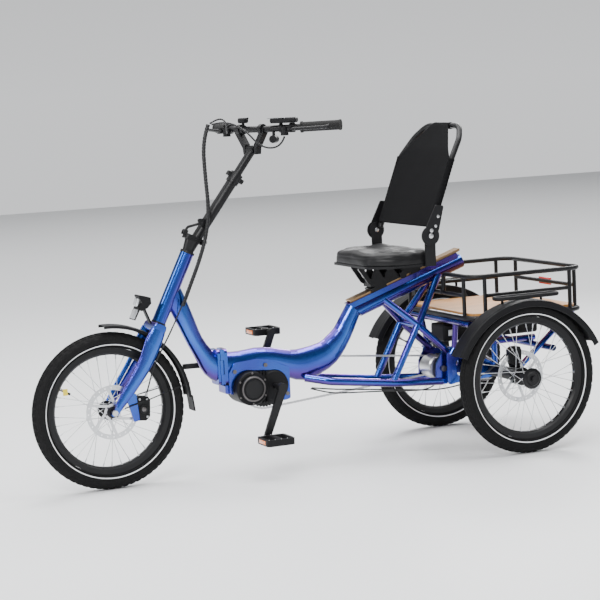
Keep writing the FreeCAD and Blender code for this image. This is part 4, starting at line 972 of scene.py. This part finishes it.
def sling():
    """The backrest cloth: stretched from tube to tube, dished in the middle, sleeved at its sides and top."""
    columns = 44
    line = nurbs_line(BACK_LINE, 64)
    verts = []
    faces = []
    for x, z in line:
        half = between(BACK_HALF, z)
        fade = math.sin(math.pi * min(max((z - 790) / 356, 0), 1)) ** 0.6
        for k in range(columns + 1):
            u = 2 * k / columns - 1
            dish = 10.0 * (1 - u * u) * fade
            crease = 0.25 * math.sin(3 * math.pi * u + z / 60) * (1 - u * u) * fade
            verts.append(at(x + dish + crease, u * half, z - dish * 0.3))
    for i in range(len(line) - 1):
        for k in range(columns):
            a = i * (columns + 1) + k
            faces.append((a, a + 1, a + columns + 2, a + columns + 1))
    cloth = piece("sling_cloth", verts, faces, SLING)
    thick = cloth.modifiers.new("thick", "SOLIDIFY")
    thick.thickness = 0.0016
    thick.offset = 0.0
    bpy.context.view_layer.objects.active = cloth
    bpy.ops.object.modifier_apply(modifier="thick")
    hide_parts("backrest_fabric")
    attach(cloth, "backrest")
    for label, y in (("left", -190), ("right", 190)):
        sleeve("sleeve_" + label, [(x, y, z) for x, z in SLEEVE_SIDE])
    sleeve("sleeve_top", [(1291, y, 1133) for y in (-60, -20, 20, 60)])


def sleeve(name, route):
    """A tube of the cloth round the frame, slightly puckered, with a stitched end."""
    path = evenly([at(*p) for p in route], 0.004)
    count = len(path)

    def radius(i):
        pucker = 0.0003 * math.sin(i * 1.9) + 0.0002 * math.sin(i * 4.3)
        hem = 0.0006 if i in (1, 2, count - 2, count - 3) else 0.0
        return TUBE_R + 0.0016 + pucker + hem
    outer, faces = sweep_mesh(path, radius, 28)
    obj = piece(name, outer, faces[:-2], SLING)
    wall = obj.modifiers.new("wall", "SOLIDIFY")
    wall.thickness = 0.0012
    wall.offset = -1.0
    bpy.context.view_layer.objects.active = obj
    bpy.ops.object.modifier_apply(modifier="wall")
    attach(obj, "backrest")


def nurbs_line(pairs, count):
    """Evenly spaced (x, z) pairs, in millimetres, on a smooth line."""
    points = nurbs_points([Vector((x, 0, z)) for x, z in pairs], 24)
    total = sum((b - a).length for a, b in zip(points, points[1:]))
    return [(p.x, p.z) for p in evenly(points, total / count)]


def backrest_details():
    """Silver bolts at the pivots and up the backrest's side plates."""
    for side, label in ((-1, "left"), (1, "right")):
        parts = []
        for x, z in ((1131.5, 800), (1142, 832)):
            parts.append(bar("bolt", at(x, side * 212.6, z), at(x, side * 215.4, z), 0.0052, SILVER, 24))
        parts.append(bar("bolt", at(1115, side * 212.6, 786), at(1115, side * 215.4, 786), 0.0065,
                         SILVER, 24))
        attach(joined("back_bolts_" + label, parts), "backrest")
        x, z = BACK_PIVOT
        ends = [bar("cap", at(x, side * 213.2, z), at(x, side * 217, z), 0.0085, SILVER, 32),
                bar("cap", at(x, side * 200.2, z), at(x, side * 197.4, z), 0.0075, SILVER, 32)]
        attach(joined("pivot_caps_" + label, ends), "seat_carriage")


# ---- small fittings ----------------------------------------------------------------------
def headlight_lens():
    """The lamp's reflector plate and the glass over it."""
    lens = soft_box("lamp_reflector", at(108.3, 0, 577), (0.003, 0.046, 0.040), LENS,
                    Matrix.Rotation(math.radians(28), 3, "Y"), 0.0012)
    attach(lens, "steering")
    low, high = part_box("headlight")
    glass = soft_box("lamp_glass", Vector((low.x + 0.0185, 0, high.z - 0.024)), (0.006, 0.036, 0.026), LENS,
                     Matrix.Rotation(math.radians(18), 3, "Y"), 0.002)
    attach(glass, "steering")


def pedal_details():
    """Amber reflectors at both ends of each pedal, and its grip pins."""
    for side, node, body in ((-1, "pedal_left", "left_pedal"), (1, "pedal_right", "right_pedal")):
        low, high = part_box(node)
        middle = (low + high) / 2
        tread_y = middle.y + side * 0.008
        parts = []
        for end in (-1, 1):
            place = Vector((middle.x + end * 0.0497, tread_y, middle.z))
            parts.append(soft_box("reflector", place, (0.003, 0.052, 0.013), AMBER, edge=0.0008))
        obj = joined(node + "_reflectors", parts)
        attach(obj, body)
        pins = []
        for dx in (-0.044, -0.022, 0.0, 0.022, 0.044):
            for dy in (-0.044, 0.044):
                a = Vector((middle.x + dx, tread_y + dy, middle.z + 0.010))
                pins.append(bar("pin", a, a + Vector((0, 0, 0.0035)), 0.0018, STEEL, 8))
        obj = joined(node + "_pins", pins)
        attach(obj, body)


def motor_details():
    """Cover ring, cap and screws on the motor's left face."""
    x, z = MOTOR_CENTRE
    centre = at(x, -75, z)
    ring = turned("motor_ring", centre, [(0.037, 0.0004), (0.043, 0.0004), (0.042, -0.0016),
                                         (0.038, -0.0016)], DARK_STEEL, 64)
    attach(ring, "rear_frame")
    cap = turned("motor_cap", centre, [(0.0, 0.001), (0.031, 0.001), (0.0305, -0.0022), (0.0, -0.0026)],
                 BLACK, 64)
    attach(cap, "rear_frame")
    screws = []
    for i in range(6):
        turn = math.radians(30 + 60 * i)
        place = at(x + 52 * math.cos(turn), -66, z + 52 * math.sin(turn))
        screws.append(bar("screw", place + SPIN * 0.001, place - SPIN * 0.003, 0.0036, DARK_STEEL, 18))
    obj = joined("motor_screws", screws)
    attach(obj, "rear_frame")


def headset_rings():
    """Covers over the head tube's two bearings."""
    top = at(*HEAD_TOP)
    tilt = math.radians(HEAD_TILT)
    axis = Vector((math.sin(tilt), 0, math.cos(tilt)))
    upper = turned("headset_upper", top, [(0.0236, 0.0003), (0.0246, 0.0003), (0.0246, 0.0082),
                                          (0.0180, 0.0084), (0.0180, 0.0079), (0.0236, 0.0079)],
                   BLACK, 48, axis)
    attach(upper, "front_frame")
    foot = top - axis * HEAD_LENGTH
    lower = turned("headset_lower", foot, [(0.0242, -0.0003), (0.0250, -0.0003), (0.0250, -0.0071),
                                           (0.0242, -0.0071)], BLACK, 48, axis)
    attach(lower, "front_frame")


def display_screen():
    """The glass on the display box, turned with the bar."""
    turn = Matrix.Rotation(math.radians(BAR_TWIST + BAR_SWEEP - 90), 3, "Z")
    place = at(613.8, -92.5, 1193.3)
    screen = soft_box("display_screen", place, (0.060, 0.030, 0.0016), SCREEN, turn, 0.0006)
    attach(screen, "bars")


def beam_plug():
    """A dark cap in the seat beam's open rear end."""
    tilt = math.radians(BEAM_TILT)
    direction = Vector((math.cos(tilt), 0, math.sin(tilt)))
    end = at(*BEAM_FOOT) + direction * 0.451
    plug = bar("beam_plug", end - direction * 0.02, end - direction * 0.004, 0.0226, PLASTIC, 40)
    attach(plug, "rear_frame")


def battery_details():
    """The case's seam and its lock."""
    low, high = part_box("battery")
    middle = (low + high) / 2
    seam = soft_box("battery_seam", Vector((middle.x + 0.03, 0, middle.z + 0.006)),
                    (0.300, high.y * 2 + 0.0012, 0.003), BLACK, edge=0.0008)
    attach(seam, "rear_frame")
    latch = soft_box("battery_lock", Vector((low.x + 0.03, low.y + 0.0002, middle.z)), (0.022, 0.003, 0.022),
                     SILVER, edge=0.001)
    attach(latch, "rear_frame")


def rear_reflector():
    """A red reflector on the basket's rear rail."""
    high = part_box("basket_frame")[1]
    glass = soft_box("rear_reflector", Vector((high.x - 0.0045, 0, high.z - 0.075)), (0.007, 0.080, 0.026),
                     RED, edge=0.002)
    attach(glass, "rear_frame")


def hinge_seal():
    """The dark pad between the two plates of the frame hinge."""
    pad = soft_box("hinge_pad", at(392.5, 4, 369.5), (0.005, 0.052, 0.100), PLASTIC, edge=0.0012)
    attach(pad, "front_frame")


def caliper_details():
    """Piston caps, mounting bolts and hose joints on the three calipers."""
    parts = [bar("piston", at(105, -47.6, AXLE_Z), at(105, -52, AXLE_Z), 0.0135, BLACK, 36),
             bar("piston_cap", at(105, -51.8, AXLE_Z), at(105, -53, AXLE_Z), 0.0085, DARK_STEEL, 6)]
    for x, z in ((118, 292), (116, 236), (92, 296)):
        parts.append(bar("bolt", at(x, -47.6, z), at(x, -51, z), 0.0045, STEEL, 6))
    parts.append(bar("banjo", at(116, -45, 303), at(118, -46, 314), 0.0045, STEEL, 16))
    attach(joined("front_caliper_details", parts), "steering")
    for side, label in ((-1, "left"), (1, "right")):
        parts = [bar("piston", at(1386, side * 285.2, 338), at(1386, side * 288.5, 338), 0.0115, BLACK, 36)]
        for x, z in ((1372, 358), (1399, 312)):
            parts.append(bar("bolt", at(x, side * 285.2, z), at(x, side * 287.6, z), 0.004, STEEL, 6))
        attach(joined("rear_caliper_details_" + label, parts), "rear_frame")


def hub_details():
    """Bolts that hold each brake disc to its hub."""
    for label, y, x_hub in (("front", -39.2, 0), ("left", -277.2, WHEELBASE), ("right", 277.2, WHEELBASE)):
        away = -1 if y < 0 else 1
        parts = []
        for i in range(6):
            turn = math.radians(60 * i + 15)
            x = x_hub + 22 * math.cos(turn)
            z = AXLE_Z + 22 * math.sin(turn)
            parts.append(bar("bolt", at(x, y, z), at(x, y + away * 1.8, z), 0.0034, DARK_STEEL, 10))
        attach(joined(label + "_disc_bolts", parts), label + "_wheel")


def main():
    make_camera()
    dress_nodes()
    make_stage()
    wheels()
    chains()
    cable_runs()
    seat_cushion()
    sling()
    backrest_details()
    headlight_lens()
    pedal_details()
    motor_details()
    headset_rings()
    display_screen()
    beam_plug()
    battery_details()
    rear_reflector()
    hinge_seal()
    caliper_details()
    hub_details()


main()
